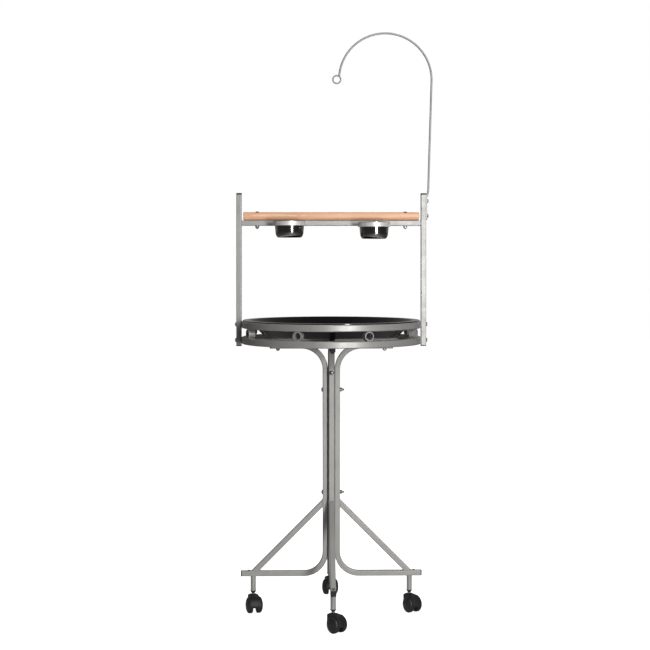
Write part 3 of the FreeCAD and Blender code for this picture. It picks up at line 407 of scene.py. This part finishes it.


# ---- legs, braces and stem tubes ----
# Square steel tube, bent cold and welded, then powder coated in silver grey. The coat has a
# fine orange-peel skin and slight changes of tone, and the welds show as small rippled beads.
# the coat's lighter edge colour is partly rubbed paint, partly a painted highlight
silver_coat = finish_of(
    "silver_powder_coat", (0.35, 0.341, 0.327), (0.295, 0.287, 0.275), 9.0, 0.35,
    (650.0, 0.35, 0.36, 0.5, 30.0), metallic=0.35, edge_wear_and_highlight=((0.5, 0.49, 0.475), 0.0009, 0.5))
dress([part + side for part in ("leg_", "brace_") for side in SIDES] + ["stem_tubes"], silver_coat)

# geometry nodes that lay a rippled weld bead along each edge path
weld_tree = bpy.data.node_groups.new("weld_bead", "GeometryNodeTree")
weld_tree.is_modifier = True
weld_sockets = {}
for label, kind, default in (
        ("Paths", "Geometry", None), ("Bead radius", "Float", 0.0012),
        ("Ripple spacing", "Float", 0.0013), ("Unevenness", "Float", 0.12), ("Seed", "Int", 7),
        ("Coat", "Material", None)):
    socket = weld_tree.interface.new_socket(label, in_out="INPUT", socket_type="NodeSocket" + kind)
    if default is not None:
        socket.default_value = default
    weld_sockets[label] = socket.identifier
weld_tree.interface.new_socket("Beads", in_out="OUTPUT", socket_type="NodeSocketGeometry")
given = weld_tree.nodes.new("NodeGroupInput")
result = weld_tree.nodes.new("NodeGroupOutput")
to_curve = weld_tree.nodes.new("GeometryNodeMeshToCurve")
resample = weld_tree.nodes.new("GeometryNodeResampleCurve")
resample.mode = "LENGTH"
ripple = weld_tree.nodes.new("GeometryNodeMeshIcoSphere")
ripple.inputs["Subdivisions"].default_value = 2
tangent = weld_tree.nodes.new("GeometryNodeInputTangent")
along = weld_tree.nodes.new("FunctionNodeAlignRotationToVector")
along.axis = "Z"
lowest = weld_tree.nodes.new("ShaderNodeMath")
lowest.operation = "SUBTRACT"
lowest.inputs[0].default_value = 1.0
highest = weld_tree.nodes.new("ShaderNodeMath")
highest.operation = "ADD"
highest.inputs[0].default_value = 1.0
uneven = weld_tree.nodes.new("FunctionNodeRandomValue")
place_ripples = weld_tree.nodes.new("GeometryNodeInstanceOnPoints")
core_section = weld_tree.nodes.new("GeometryNodeCurvePrimitiveCircle")
core_section.inputs["Resolution"].default_value = 8
core_radius = weld_tree.nodes.new("ShaderNodeMath")
core_radius.operation = "MULTIPLY"
core_radius.inputs[1].default_value = 0.84
core = weld_tree.nodes.new("GeometryNodeCurveToMesh")
core.inputs["Fill Caps"].default_value = True
together = weld_tree.nodes.new("GeometryNodeJoinGeometry")
realize = weld_tree.nodes.new("GeometryNodeRealizeInstances")
smooth = weld_tree.nodes.new("GeometryNodeSetShadeSmooth")
coat = weld_tree.nodes.new("GeometryNodeSetMaterial")
for source, target in (
        ((given, "Paths"), (to_curve, "Mesh")),
        ((to_curve, "Curve"), (resample, "Curve")),
        ((given, "Ripple spacing"), (resample, "Length")),
        ((given, "Bead radius"), (ripple, "Radius")),
        ((tangent, "Tangent"), (along, "Vector")),
        ((given, "Unevenness"), (lowest, 1)),
        ((given, "Unevenness"), (highest, 1)),
        ((lowest, 0), (uneven, 2)),
        ((highest, 0), (uneven, 3)),
        ((given, "Seed"), (uneven, "Seed")),
        ((resample, "Curve"), (place_ripples, "Points")),
        ((ripple, "Mesh"), (place_ripples, "Instance")),
        ((along, "Rotation"), (place_ripples, "Rotation")),
        ((uneven, 1), (place_ripples, "Scale")),
        ((given, "Bead radius"), (core_radius, 0)),
        ((core_radius, 0), (core_section, "Radius")),
        ((resample, "Curve"), (core, "Curve")),
        ((core_section, "Curve"), (core, "Profile Curve")),
        ((place_ripples, "Instances"), (together, "Geometry")),
        ((core, "Mesh"), (together, "Geometry")),
        ((together, "Geometry"), (realize, "Geometry")),
        ((realize, "Geometry"), (smooth, "Geometry")),
        ((smooth, "Geometry"), (coat, "Geometry")),
        ((given, "Coat"), (coat, "Material")),
        ((coat, "Geometry"), (result, "Beads"))):
    wire(weld_tree, source, target)


def path_piece(name, paths):
    """Object of bare edges: each path is (points, whether it closes)."""
    points, edges = [], []
    for path, closed in paths:
        first = len(points)
        points += path
        edges += [(first + i, first + i + 1) for i in range(len(path) - 1)]
        if closed:
            edges.append((len(points) - 1, first))
    mesh = bpy.data.meshes.new(name)
    mesh.from_pydata([tuple(point) for point in points], edges, [])
    piece = bpy.data.objects.new(name, mesh)
    bpy.context.scene.collection.objects.link(piece)
    return piece


def weld(name, paths, radius, coating, body="stand", spacing=0.0013):
    """Rippled bead along the paths, as one plain mesh."""
    piece = path_piece(name + "_paths", paths)
    beads = piece.modifiers.new("beads", "NODES")
    beads.node_group = weld_tree
    beads[weld_sockets["Bead radius"]] = radius
    beads[weld_sockets["Ripple spacing"]] = spacing
    beads[weld_sockets["Coat"]] = coating
    whole = baked(name, piece)
    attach(whole, body)


def circle_path(centre, radius, normal, count=28):
    turn = Vector(normal).to_track_quat("Z", "Y")
    return [Vector(centre) + turn @ Vector((radius * math.cos(a), radius * math.sin(a), 0))
            for a in (2 * math.pi * i / count for i in range(count))]


def square_path(centre, normal, half_wide, half_high, corner=0.0022):
    """Rounded rectangle in the plane across a direction; its second side is upright."""
    across = Vector((0, 0, 1)).cross(Vector(normal))
    if across.length < 0.5:
        across = Vector((0, 1, 0))
    across.normalize()
    up = Vector(normal).cross(across).normalized()
    points = []
    for sx, sy, start in ((1, 1, 0), (-1, 1, 90), (-1, -1, 180), (1, -1, 270)):
        for step in range(4):
            a = math.radians(start + 30 * step)
            points.append(Vector(centre)
                          + across * (sx * (half_wide - corner) + corner * math.cos(a))
                          + up * (sy * (half_high - corner) + corner * math.sin(a)))
    return points


BAR_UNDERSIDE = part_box("stem_tubes")[1][2]
BAR_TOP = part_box("brace_right")[0][2]
HALF_TUBE = 0.008                     # both the square tube and the stem tube
STEM_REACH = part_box("stem_tubes")[1][0] - HALF_TUBE
LEG_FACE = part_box("brace_right")[0][0]
BRACE_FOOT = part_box("brace_right")[1][0]
BRACE_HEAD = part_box("brace_right")[1][2]
BRACE_CUT = 0.01131                   # half of the tube's slanted cut
leg_seams = []
for turn in range(4):
    spin = Matrix.Rotation(math.radians(90 * turn), 4, "Z")
    stem = circle_path((STEM_REACH, 0, BAR_UNDERSIDE), HALF_TUBE, (0, 0, 1))
    head = square_path((LEG_FACE, 0, BRACE_HEAD - BRACE_CUT), (1, 0, 0), HALF_TUBE, BRACE_CUT)
    foot = square_path((BRACE_FOOT - BRACE_CUT, 0, BAR_TOP), (0, 0, 1), HALF_TUBE, BRACE_CUT)
    leg_seams += [([spin @ p for p in seam], True) for seam in (stem, head, foot)]
weld("leg_welds", leg_seams, 0.0011, silver_coat)

# black moulded plugs close the floor bars and the arms; small dark screws hold the lower ones
plug_black = finish_of(
    "plug_black", (0.014, 0.014, 0.0145), (0.008, 0.008, 0.0085), 60.0, 0.4,
    (1400.0, 0.3, 0.42, 0.58, 90.0), specular=0.3)
black_oxide = finish_of(
    "black_oxide", (0.05, 0.05, 0.05), (0.025, 0.025, 0.025), 200.0, 0.4,
    (1800.0, 0.2, 0.3, 0.45, 200.0), metallic=0.6)
dress(["leg_plugs"], plug_black)
dress(["foot_screws"], black_oxide)


# ---- centre post and its bolts ----
# The four legs are bolted round a square post of the same coated steel. The bolts, washers and
# nuts are zinc-plated, with a short length of thread beyond each nut.
dress(["centre_post"], silver_coat)
# the plating's lighter edge colour is partly rubbed wear, partly a painted highlight
zinc = finish_of(
    "zinc_plate", (0.30, 0.30, 0.31), (0.17, 0.17, 0.18), 140.0, 0.35,
    (1800.0, 0.15, 0.26, 0.42, 260.0), metallic=0.9, edge_wear_and_highlight=((0.5, 0.5, 0.5), 0.0004, 0.6))
dress(["column_bolts", "washers", "nuts"], zinc)

# geometry nodes that set thread turns along a straight path
thread_tree = bpy.data.node_groups.new("thread_turns", "GeometryNodeTree")
thread_tree.is_modifier = True
thread_sockets = {}
for label, kind, default in (
        ("Paths", "Geometry", None), ("Crest radius", "Float", 0.0031), ("Pitch", "Float", 0.001),
        ("Plating", "Material", None)):
    socket = thread_tree.interface.new_socket(
        label, in_out="INPUT", socket_type="NodeSocket" + kind)
    if default is not None:
        socket.default_value = default
    thread_sockets[label] = socket.identifier
thread_tree.interface.new_socket("Turns", in_out="OUTPUT", socket_type="NodeSocketGeometry")
given = thread_tree.nodes.new("NodeGroupInput")
result = thread_tree.nodes.new("NodeGroupOutput")
to_curve = thread_tree.nodes.new("GeometryNodeMeshToCurve")
resample = thread_tree.nodes.new("GeometryNodeResampleCurve")
resample.mode = "LENGTH"
half_turn = thread_tree.nodes.new("ShaderNodeMath")
half_turn.operation = "MULTIPLY"
half_turn.inputs[1].default_value = 0.42
crests = []
for _ in range(2):
    crest = thread_tree.nodes.new("GeometryNodeMeshCone")
    crest.inputs["Vertices"].default_value = 24
    crest.fill_type = "NGON"
    crests.append(crest)
root = thread_tree.nodes.new("ShaderNodeMath")
root.operation = "MULTIPLY"
root.inputs[1].default_value = 0.88
lower_half = thread_tree.nodes.new("GeometryNodeTransform")
lower_half.inputs["Rotation"].default_value = (math.pi, 0, 0)
crest_whole = thread_tree.nodes.new("GeometryNodeJoinGeometry")
tangent = thread_tree.nodes.new("GeometryNodeInputTangent")
along = thread_tree.nodes.new("FunctionNodeAlignRotationToVector")
along.axis = "Z"
place_turns = thread_tree.nodes.new("GeometryNodeInstanceOnPoints")
realize = thread_tree.nodes.new("GeometryNodeRealizeInstances")
plating = thread_tree.nodes.new("GeometryNodeSetMaterial")
for source, target in (
        ((given, "Paths"), (to_curve, "Mesh")),
        ((to_curve, "Curve"), (resample, "Curve")),
        ((given, "Pitch"), (resample, "Length")),
        ((given, "Pitch"), (half_turn, 0)),
        ((given, "Crest radius"), (root, 0)),
        ((given, "Crest radius"), (crests[0], "Radius Bottom")),
        ((given, "Crest radius"), (crests[1], "Radius Bottom")),
        ((root, 0), (crests[0], "Radius Top")),
        ((root, 0), (crests[1], "Radius Top")),
        ((half_turn, 0), (crests[0], "Depth")),
        ((half_turn, 0), (crests[1], "Depth")),
        ((crests[1], "Mesh"), (lower_half, "Geometry")),
        ((crests[0], "Mesh"), (crest_whole, "Geometry")),
        ((lower_half, "Geometry"), (crest_whole, "Geometry")),
        ((tangent, "Tangent"), (along, "Vector")),
        ((resample, "Curve"), (place_turns, "Points")),
        ((crest_whole, "Geometry"), (place_turns, "Instance")),
        ((along, "Rotation"), (place_turns, "Rotation")),
        ((place_turns, "Instances"), (realize, "Geometry")),
        ((realize, "Geometry"), (plating, "Geometry")),
        ((given, "Plating"), (plating, "Material")),
        ((plating, "Geometry"), (result, "Turns"))):
    wire(thread_tree, source, target)


def threads(name, tails, plated, body="stand"):
    """Thread turns on the bolt tails: each tail is (start, end)."""
    piece = path_piece(name + "_paths", [([Vector(a), Vector(b)], False) for a, b in tails])
    turns = piece.modifiers.new("turns", "NODES")
    turns.node_group = thread_tree
    turns[thread_sockets["Plating"]] = plated
    whole = baked(name, piece)
    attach(whole, body)


COLUMN_BOLTS = {"side": (0.6645, 0.3575), "front": (0.7165, 0.2925)}      # heights
TAIL_START, TAIL_END = 0.0328, 0.0376  # from the post's axis, beyond the nuts
THREAD_INSET, THREAD_REACH = 0.0008, 0.0056   # turns from a bolt's end
PERCH_INSET, PERCH_REACH = 0.0006, 0.0026     # the same on the perch's shorter tails
tails = [((TAIL_START, 0, z), (TAIL_END, 0, z)) for z in COLUMN_BOLTS["side"]]
tails += [((0, TAIL_START, z), (0, TAIL_END, z)) for z in COLUMN_BOLTS["front"]]
threads("column_bolt_threads", tails, zinc)


# ---- rings and cross bars ----
# Two hoops of heavier square tube, held apart by eight slices of pipe that lie on their sides,
# with a cross of tube inside the lower hoop, bolted down on the arms. All is welded and coated.
dress(["lower_ring", "upper_ring", "ring_spacers", "cross_bar_long", "cross_bar_front",
       "cross_bar_rear"], silver_coat)
dress(["arm_bolts", "weld_nuts"], zinc)
RING_OUTSIDE, RING_INSIDE = 0.2685, 0.2485
LOWER_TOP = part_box("lower_ring")[1][2]
UPPER_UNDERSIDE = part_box("upper_ring")[0][2]
SPACER_CONTACT = 0.0042               # bead beside the line where pipe and hoop touch
SEAM_INSET = 0.003                    # bead's ends, in from the hoop's faces
BEAD_RISE = 0.0004                    # bead's middle off the surface that it lies on
CROSS_SEAM = 0.0084                   # where the short cross bars meet the long one
ring_seams = []
for number in range(8):
    angle = math.radians(22.5 + 45 * number)
    outwards = Vector((math.cos(angle), math.sin(angle), 0))
    across = Vector((-math.sin(angle), math.cos(angle), 0))
    for level, sign in ((LOWER_TOP, 1), (UPPER_UNDERSIDE, -1)):
        for side in (-1, 1):
            middle = across * (side * SPACER_CONTACT) + Vector((0, 0, level + sign * BEAD_RISE))
            ring_seams.append(([middle + outwards * (RING_INSIDE + SEAM_INSET),
                                middle + outwards * (RING_OUTSIDE - SEAM_INSET)], False))
CROSS_MIDDLE = (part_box("cross_bar_long")[0][2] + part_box("cross_bar_long")[1][2]) / 2
for turn in range(4):
    spin = Matrix.Rotation(math.radians(90 * turn), 4, "Z")
    end = square_path(
        (RING_INSIDE - BEAD_RISE, 0, CROSS_MIDDLE), (1, 0, 0), HALF_TUBE, HALF_TUBE)
    ring_seams.append(([spin @ p for p in end], True))
for sign in (-1, 1):
    crossing = square_path(
        (0, sign * CROSS_SEAM, CROSS_MIDDLE), (0, sign, 0), HALF_TUBE, HALF_TUBE)
    ring_seams.append((crossing, True))
weld("ring_welds", ring_seams, 0.0011, silver_coat, spacing=0.0015)

ARM_BOLT_REACH = 0.160
ARM_BOLT_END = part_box("arm_bolts")[0][2]
ARM_TAIL = (ARM_BOLT_END + THREAD_INSET, ARM_BOLT_END + THREAD_REACH)
tails = []
for turn in range(4):
    x = ARM_BOLT_REACH * math.cos(turn * math.pi / 2)
    y = ARM_BOLT_REACH * math.sin(turn * math.pi / 2)
    tails.append(((x, y, ARM_TAIL[1]), (x, y, ARM_TAIL[0])))
threads("arm_bolt_threads", tails, zinc)


# ---- tray ----
# One deep-drawn steel dish in black gloss enamel, which drops into the upper hoop. Its glaze
# is glass smooth, with faint rub marks and fine specks in its tone.
tray_enamel = bpy.data.materials.new("tray_enamel")
tray_enamel.use_nodes = True
tree = tray_enamel.node_tree
shader = tree.nodes["Principled BSDF"]
shader.inputs["Coat Weight"].default_value = 0.12
shader.inputs["Coat Roughness"].default_value = 0.07
shader.inputs["Specular IOR Level"].default_value = 0.2
place = tree.nodes.new("ShaderNodeTexCoord")
glaze = tree.nodes.new("ShaderNodeGroup")
glaze.node_tree = tone_group
glaze.inputs["Light"].default_value = (0.006, 0.0058, 0.0058, 1)
glaze.inputs["Dark"].default_value = (0.0032, 0.003, 0.003, 1)
glaze.inputs["Scale"].default_value = 14.0
glaze.inputs["Specks"].default_value = 0.15
marks_stretch = tree.nodes.new("ShaderNodeMapping")
marks_stretch.inputs["Scale"].default_value = (14.0, 210.0, 40.0)
marks_stretch.inputs["Rotation"].default_value = (0, 0, 0.7)
marks = noise_node(tree, 1.0, 5.0, 0.7)
mark_level = range_node(tree, 0.58, 0.72, 0.12, 0.3)
ripples = noise_node(tree, 9.0, 1.0, 0.4)
ripple_bump = tree.nodes.new("ShaderNodeBump")
ripple_bump.inputs["Strength"].default_value = 0.1
ripple_bump.inputs["Distance"].default_value = 0.002
wire(tree, (glaze, "Color"), (shader, "Base Color"))
wire(tree, (place, "Object"), (marks_stretch, "Vector"))
wire(tree, (marks_stretch, "Vector"), (marks, "Vector"))
wire(tree, (marks, "Fac"), (mark_level, "Value"))
wire(tree, (mark_level, "Result"), (shader, "Roughness"))
wire(tree, (place, "Object"), (ripples, "Vector"))
wire(tree, (ripples, "Fac"), (ripple_bump, "Height"))
wire(tree, (ripple_bump, "Normal"), (shader, "Normal"))
dress(["tray"], tray_enamel)


# ---- uprights and rail ----
# Two posts of the thin square tube, bolted to the outside of both hoops, closed with black
# plugs, and joined near the top by a rail that is welded between them.
dress(["upright_left", "upright_right", "perch_rail"], silver_coat)
dress(["upright_plugs"], plug_black)
dress(["upright_bolts"], zinc)
RAIL_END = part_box("perch_rail")[1][0]
RAIL_MIDDLE = (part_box("perch_rail")[0][2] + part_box("perch_rail")[1][2]) / 2
RAIL_SEAM = RAIL_END - 0.0005         # bead's middle, just off the upright's face
rail_seams = []
for sign in (-1, 1):
    seam = square_path((sign * RAIL_SEAM, 0, RAIL_MIDDLE), (sign, 0, 0), HALF_TUBE, HALF_TUBE)
    rail_seams.append((seam, True))
weld("rail_welds", rail_seams, 0.001, silver_coat)


# ---- perch ----
# A turned dowel of pale hardwood, sanded and left bare, with its grain along its length and
# darker end grain. Two long bolts hold it down on the rail.
perch_wood = bpy.data.materials.new("perch_wood")
perch_wood.use_nodes = True
tree = perch_wood.node_tree
shader = tree.nodes["Principled BSDF"]
place = tree.nodes.new("ShaderNodeTexCoord")
board = tree.nodes.new("ShaderNodeMapping")
board.inputs["Location"].default_value = (0, 0.02, -1.184)
board.inputs["Rotation"].default_value = (0.5, 0.008, 0.012)
waver = noise_node(tree, 5.0, 2.0, 0.5)
waver_stretch = tree.nodes.new("ShaderNodeMapping")
waver_stretch.inputs["Scale"].default_value = (1.0, 6.0, 6.0)
waver_reach = tree.nodes.new("ShaderNodeVectorMath")
waver_reach.operation = "SCALE"
waver_reach.inputs["Scale"].default_value = 0.012
bent = tree.nodes.new("ShaderNodeVectorMath")
bent.operation = "ADD"
years = tree.nodes.new("ShaderNodeTexWave")
years.wave_type = "RINGS"
years.rings_direction = "X"
years.wave_profile = "SAW"
years.inputs["Scale"].default_value = 62.0
years.inputs["Distortion"].default_value = 0.6
years.inputs["Detail"].default_value = 2.0
year_colours = tree.nodes.new("ShaderNodeValToRGB")
year_colours.color_ramp.elements[0].color = (0.88, 0.53, 0.34, 1)
year_colours.color_ramp.elements[1].color = (0.74, 0.40, 0.235, 1)
year_colours.color_ramp.elements[1].position = 0.95
fibre_stretch = tree.nodes.new("ShaderNodeMapping")
fibre_stretch.inputs["Scale"].default_value = (22.0, 900.0, 900.0)
fibres = noise_node(tree, 1.0, 5.0, 0.65)
fibre_level = range_node(tree, 0.3, 0.7, 0.74, 1.12)
fibre_tint = mix_node(tree, "MULTIPLY", 0.6)
pores_stretch = tree.nodes.new("ShaderNodeMapping")
pores_stretch.inputs["Scale"].default_value = (60.0, 1400.0, 1400.0)
pores = tree.nodes.new("ShaderNodeTexVoronoi")
pores.inputs["Scale"].default_value = 1.0
pore_level = range_node(tree, 0.08, 0.22, 0.72, 1.0)
pore_tint = mix_node(tree, "MULTIPLY", 0.7)
grain_bump = tree.nodes.new("ShaderNodeBump")
grain_bump.inputs["Strength"].default_value = 0.4
grain_bump.inputs["Distance"].default_value = 0.0003
wood_dull = range_node(tree, 0.3, 0.7, 0.5, 0.7)
for source, target in (
        ((place, "Object"), (board, "Vector")),
        ((place, "Object"), (waver_stretch, "Vector")),
        ((waver_stretch, "Vector"), (waver, "Vector")),
        ((waver, "Color"), (waver_reach, 0)),
        ((board, "Vector"), (bent, 0)),
        ((waver_reach, "Vector"), (bent, 1)),
        ((bent, "Vector"), (years, "Vector")),
        ((years, "Fac"), (year_colours, "Fac")),
        ((place, "Object"), (fibre_stretch, "Vector")),
        ((fibre_stretch, "Vector"), (fibres, "Vector")),
        ((fibres, "Fac"), (fibre_level, "Value")),
        ((year_colours, "Color"), (fibre_tint, 6)),
        ((fibre_level, "Result"), (fibre_tint, 7)),
        ((place, "Object"), (pores_stretch, "Vector")),
        ((pores_stretch, "Vector"), (pores, "Vector")),
        ((pores, "Distance"), (pore_level, "Value")),
        ((fibre_tint, 2), (pore_tint, 6)),
        ((pore_level, "Result"), (pore_tint, 7)),
        ((pore_tint, 2), (shader, "Base Color")),
        ((fibres, "Fac"), (wood_dull, "Value")),
        ((wood_dull, "Result"), (shader, "Roughness")),
        ((fibres, "Fac"), (grain_bump, "Height")),
        ((grain_bump, "Normal"), (shader, "Normal"))):
    wire(tree, source, target)
dress(["perch"], perch_wood)
dark_zinc = finish_of(
    "dark_zinc", (0.10, 0.09, 0.085), (0.05, 0.046, 0.044), 140.0, 0.35,
    (1800.0, 0.15, 0.3, 0.5, 260.0), metallic=0.7)
dress(["perch_bolts"], dark_zinc)
PERCH_BOLT_X = 0.222
PERCH_BOLT_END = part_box("perch_bolts")[0][2]
PERCH_TAIL = (PERCH_BOLT_END + PERCH_INSET, PERCH_BOLT_END + PERCH_REACH)
threads("perch_bolt_threads",
        [((x, 0, PERCH_TAIL[1]), (x, 0, PERCH_TAIL[0])) for x in (-PERCH_BOLT_X, PERCH_BOLT_X)],
        dark_zinc)


# ---- cups and holders ----
# Pressed stainless bowls, polished all over, which lift out of flat steel bands. A stud behind
# each band passes through a sleeve and the rail, and a wing nut holds it from the back.
polished_steel = finish_of(
    "polished_steel", (0.50, 0.475, 0.455), (0.44, 0.418, 0.40), 30.0, 0.15,
    (500.0, 0.05, 0.08, 0.16, 40.0), metallic=1.0)


def lathe(name, profile, centre, count=112):
    """Closed turned piece: the profile runs from the axis, out and round, back to the axis."""
    shape = bmesh.new()
    rings = []
    for radius, height in profile:
        around = [0.0] if radius < 1e-6 else [2 * math.pi * i / count for i in range(count)]
        rings.append([shape.verts.new((
            centre[0] + radius * math.cos(a), centre[1] + radius * math.sin(a),
            centre[2] + height)) for a in around])
    for low, high in zip(rings, rings[1:]):
        for i in range(count):
            j = (i + 1) % count
            ends = (low[i % len(low)], low[j % len(low)], high[j % len(high)], high[i % len(high)])
            shape.faces.new(list(dict.fromkeys(ends)))     # a triangle at the axis
    bmesh.ops.recalc_face_normals(shape, faces=shape.faces)
    mesh = bpy.data.meshes.new(name)
    shape.to_mesh(mesh)
    shape.free()
    mesh.shade_smooth()
    piece = bpy.data.objects.new(name, mesh)
    bpy.context.scene.collection.objects.link(piece)
    return piece


def bowl_wall(offset):
    """Half section of the pressed wall, from the axis to just below the rim."""
    foot, knee = (CUP_FOOT - offset, offset), (CUP_KNEE[0] - offset, CUP_KNEE[1])
    corner = (knee[0] - knee[1] * CUP_TAPER, offset)
    bend = []
    for t in (i / 14 for i in range(15)):
        bend.append(tuple((1 - t) ** 2 * a + 2 * t * (1 - t) * b + t * t * c
                          for a, b, c in zip(foot, corner, knee)))
    top = (CUP_RIM - offset, CUP_TALL - 2 * BEAD_HIGH)
    rise = [tuple(a + (b - a) * t for a, b in zip(knee, top)) for t in (0.2, 0.4, 0.6, 0.8, 1.0)]
    return [(0.0, offset), (foot[0] * 0.5, offset)] + bend + rise


CUP_TALL = 0.050
CUP_RIM = 0.0445                      # outside of the wall under the rim
CUP_FOOT = 0.031                      # flat of the foot
CUP_KNEE = (0.0418, 0.018)            # where the rounded corner meets the wall
CUP_TAPER = 0.09
CUP_SHEET = 0.0009
BEAD_WIDE, BEAD_HIGH = 0.00165, 0.001   # half the rolled rim
BEAD_SET = 0.88                       # its middle out from the wall, in half widths
for side in ("left", "right"):
    low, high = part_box("cup_" + side)
    bead = [(CUP_RIM + BEAD_WIDE * (BEAD_SET - math.cos(a)),
             CUP_TALL - BEAD_HIGH - BEAD_HIGH * math.sin(a))
            for a in (math.radians(30 + 20 * i) for i in range(16))]
    section = bowl_wall(0.0) + bead + bowl_wall(CUP_SHEET)[::-1]
    bowl = lathe("bowl_" + side, section, ((low[0] + high[0]) / 2, (low[1] + high[1]) / 2, low[2]))
    bowl.data.materials.append(polished_steel)
    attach(bowl, "cup_" + side)
    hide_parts("cup_" + side)

# the band's lighter edge colour is partly rubbed wear, partly a painted highlight
band_plate = finish_of(
    "band_plate", (0.74, 0.73, 0.71), (0.62, 0.61, 0.595), 60.0, 0.3,
    (900.0, 0.12, 0.36, 0.5, 80.0), metallic=0.35, edge_wear_and_highlight=((0.8, 0.79, 0.78), 0.0005, 0.5))
dress(["cup_holder_left", "cup_holder_right", "holder_spacers", "wing_nuts"], band_plate)


# ---- toy hook ----
# One steel rod bent to a crook, flattened and drilled at its foot for two screws into the right
# upright, with a small ring welded to its tip. It has the frame's coat, a little greyer.
hook_coat = finish_of(
    "hook_coat", (0.31, 0.308, 0.30), (0.275, 0.273, 0.267), 7.0, 0.25,
    (900.0, 0.15, 0.38, 0.46, 20.0), metallic=0.35)
dress(["hook_rod", "toy_ring"], hook_coat)
dress(["hook_screws"], zinc)
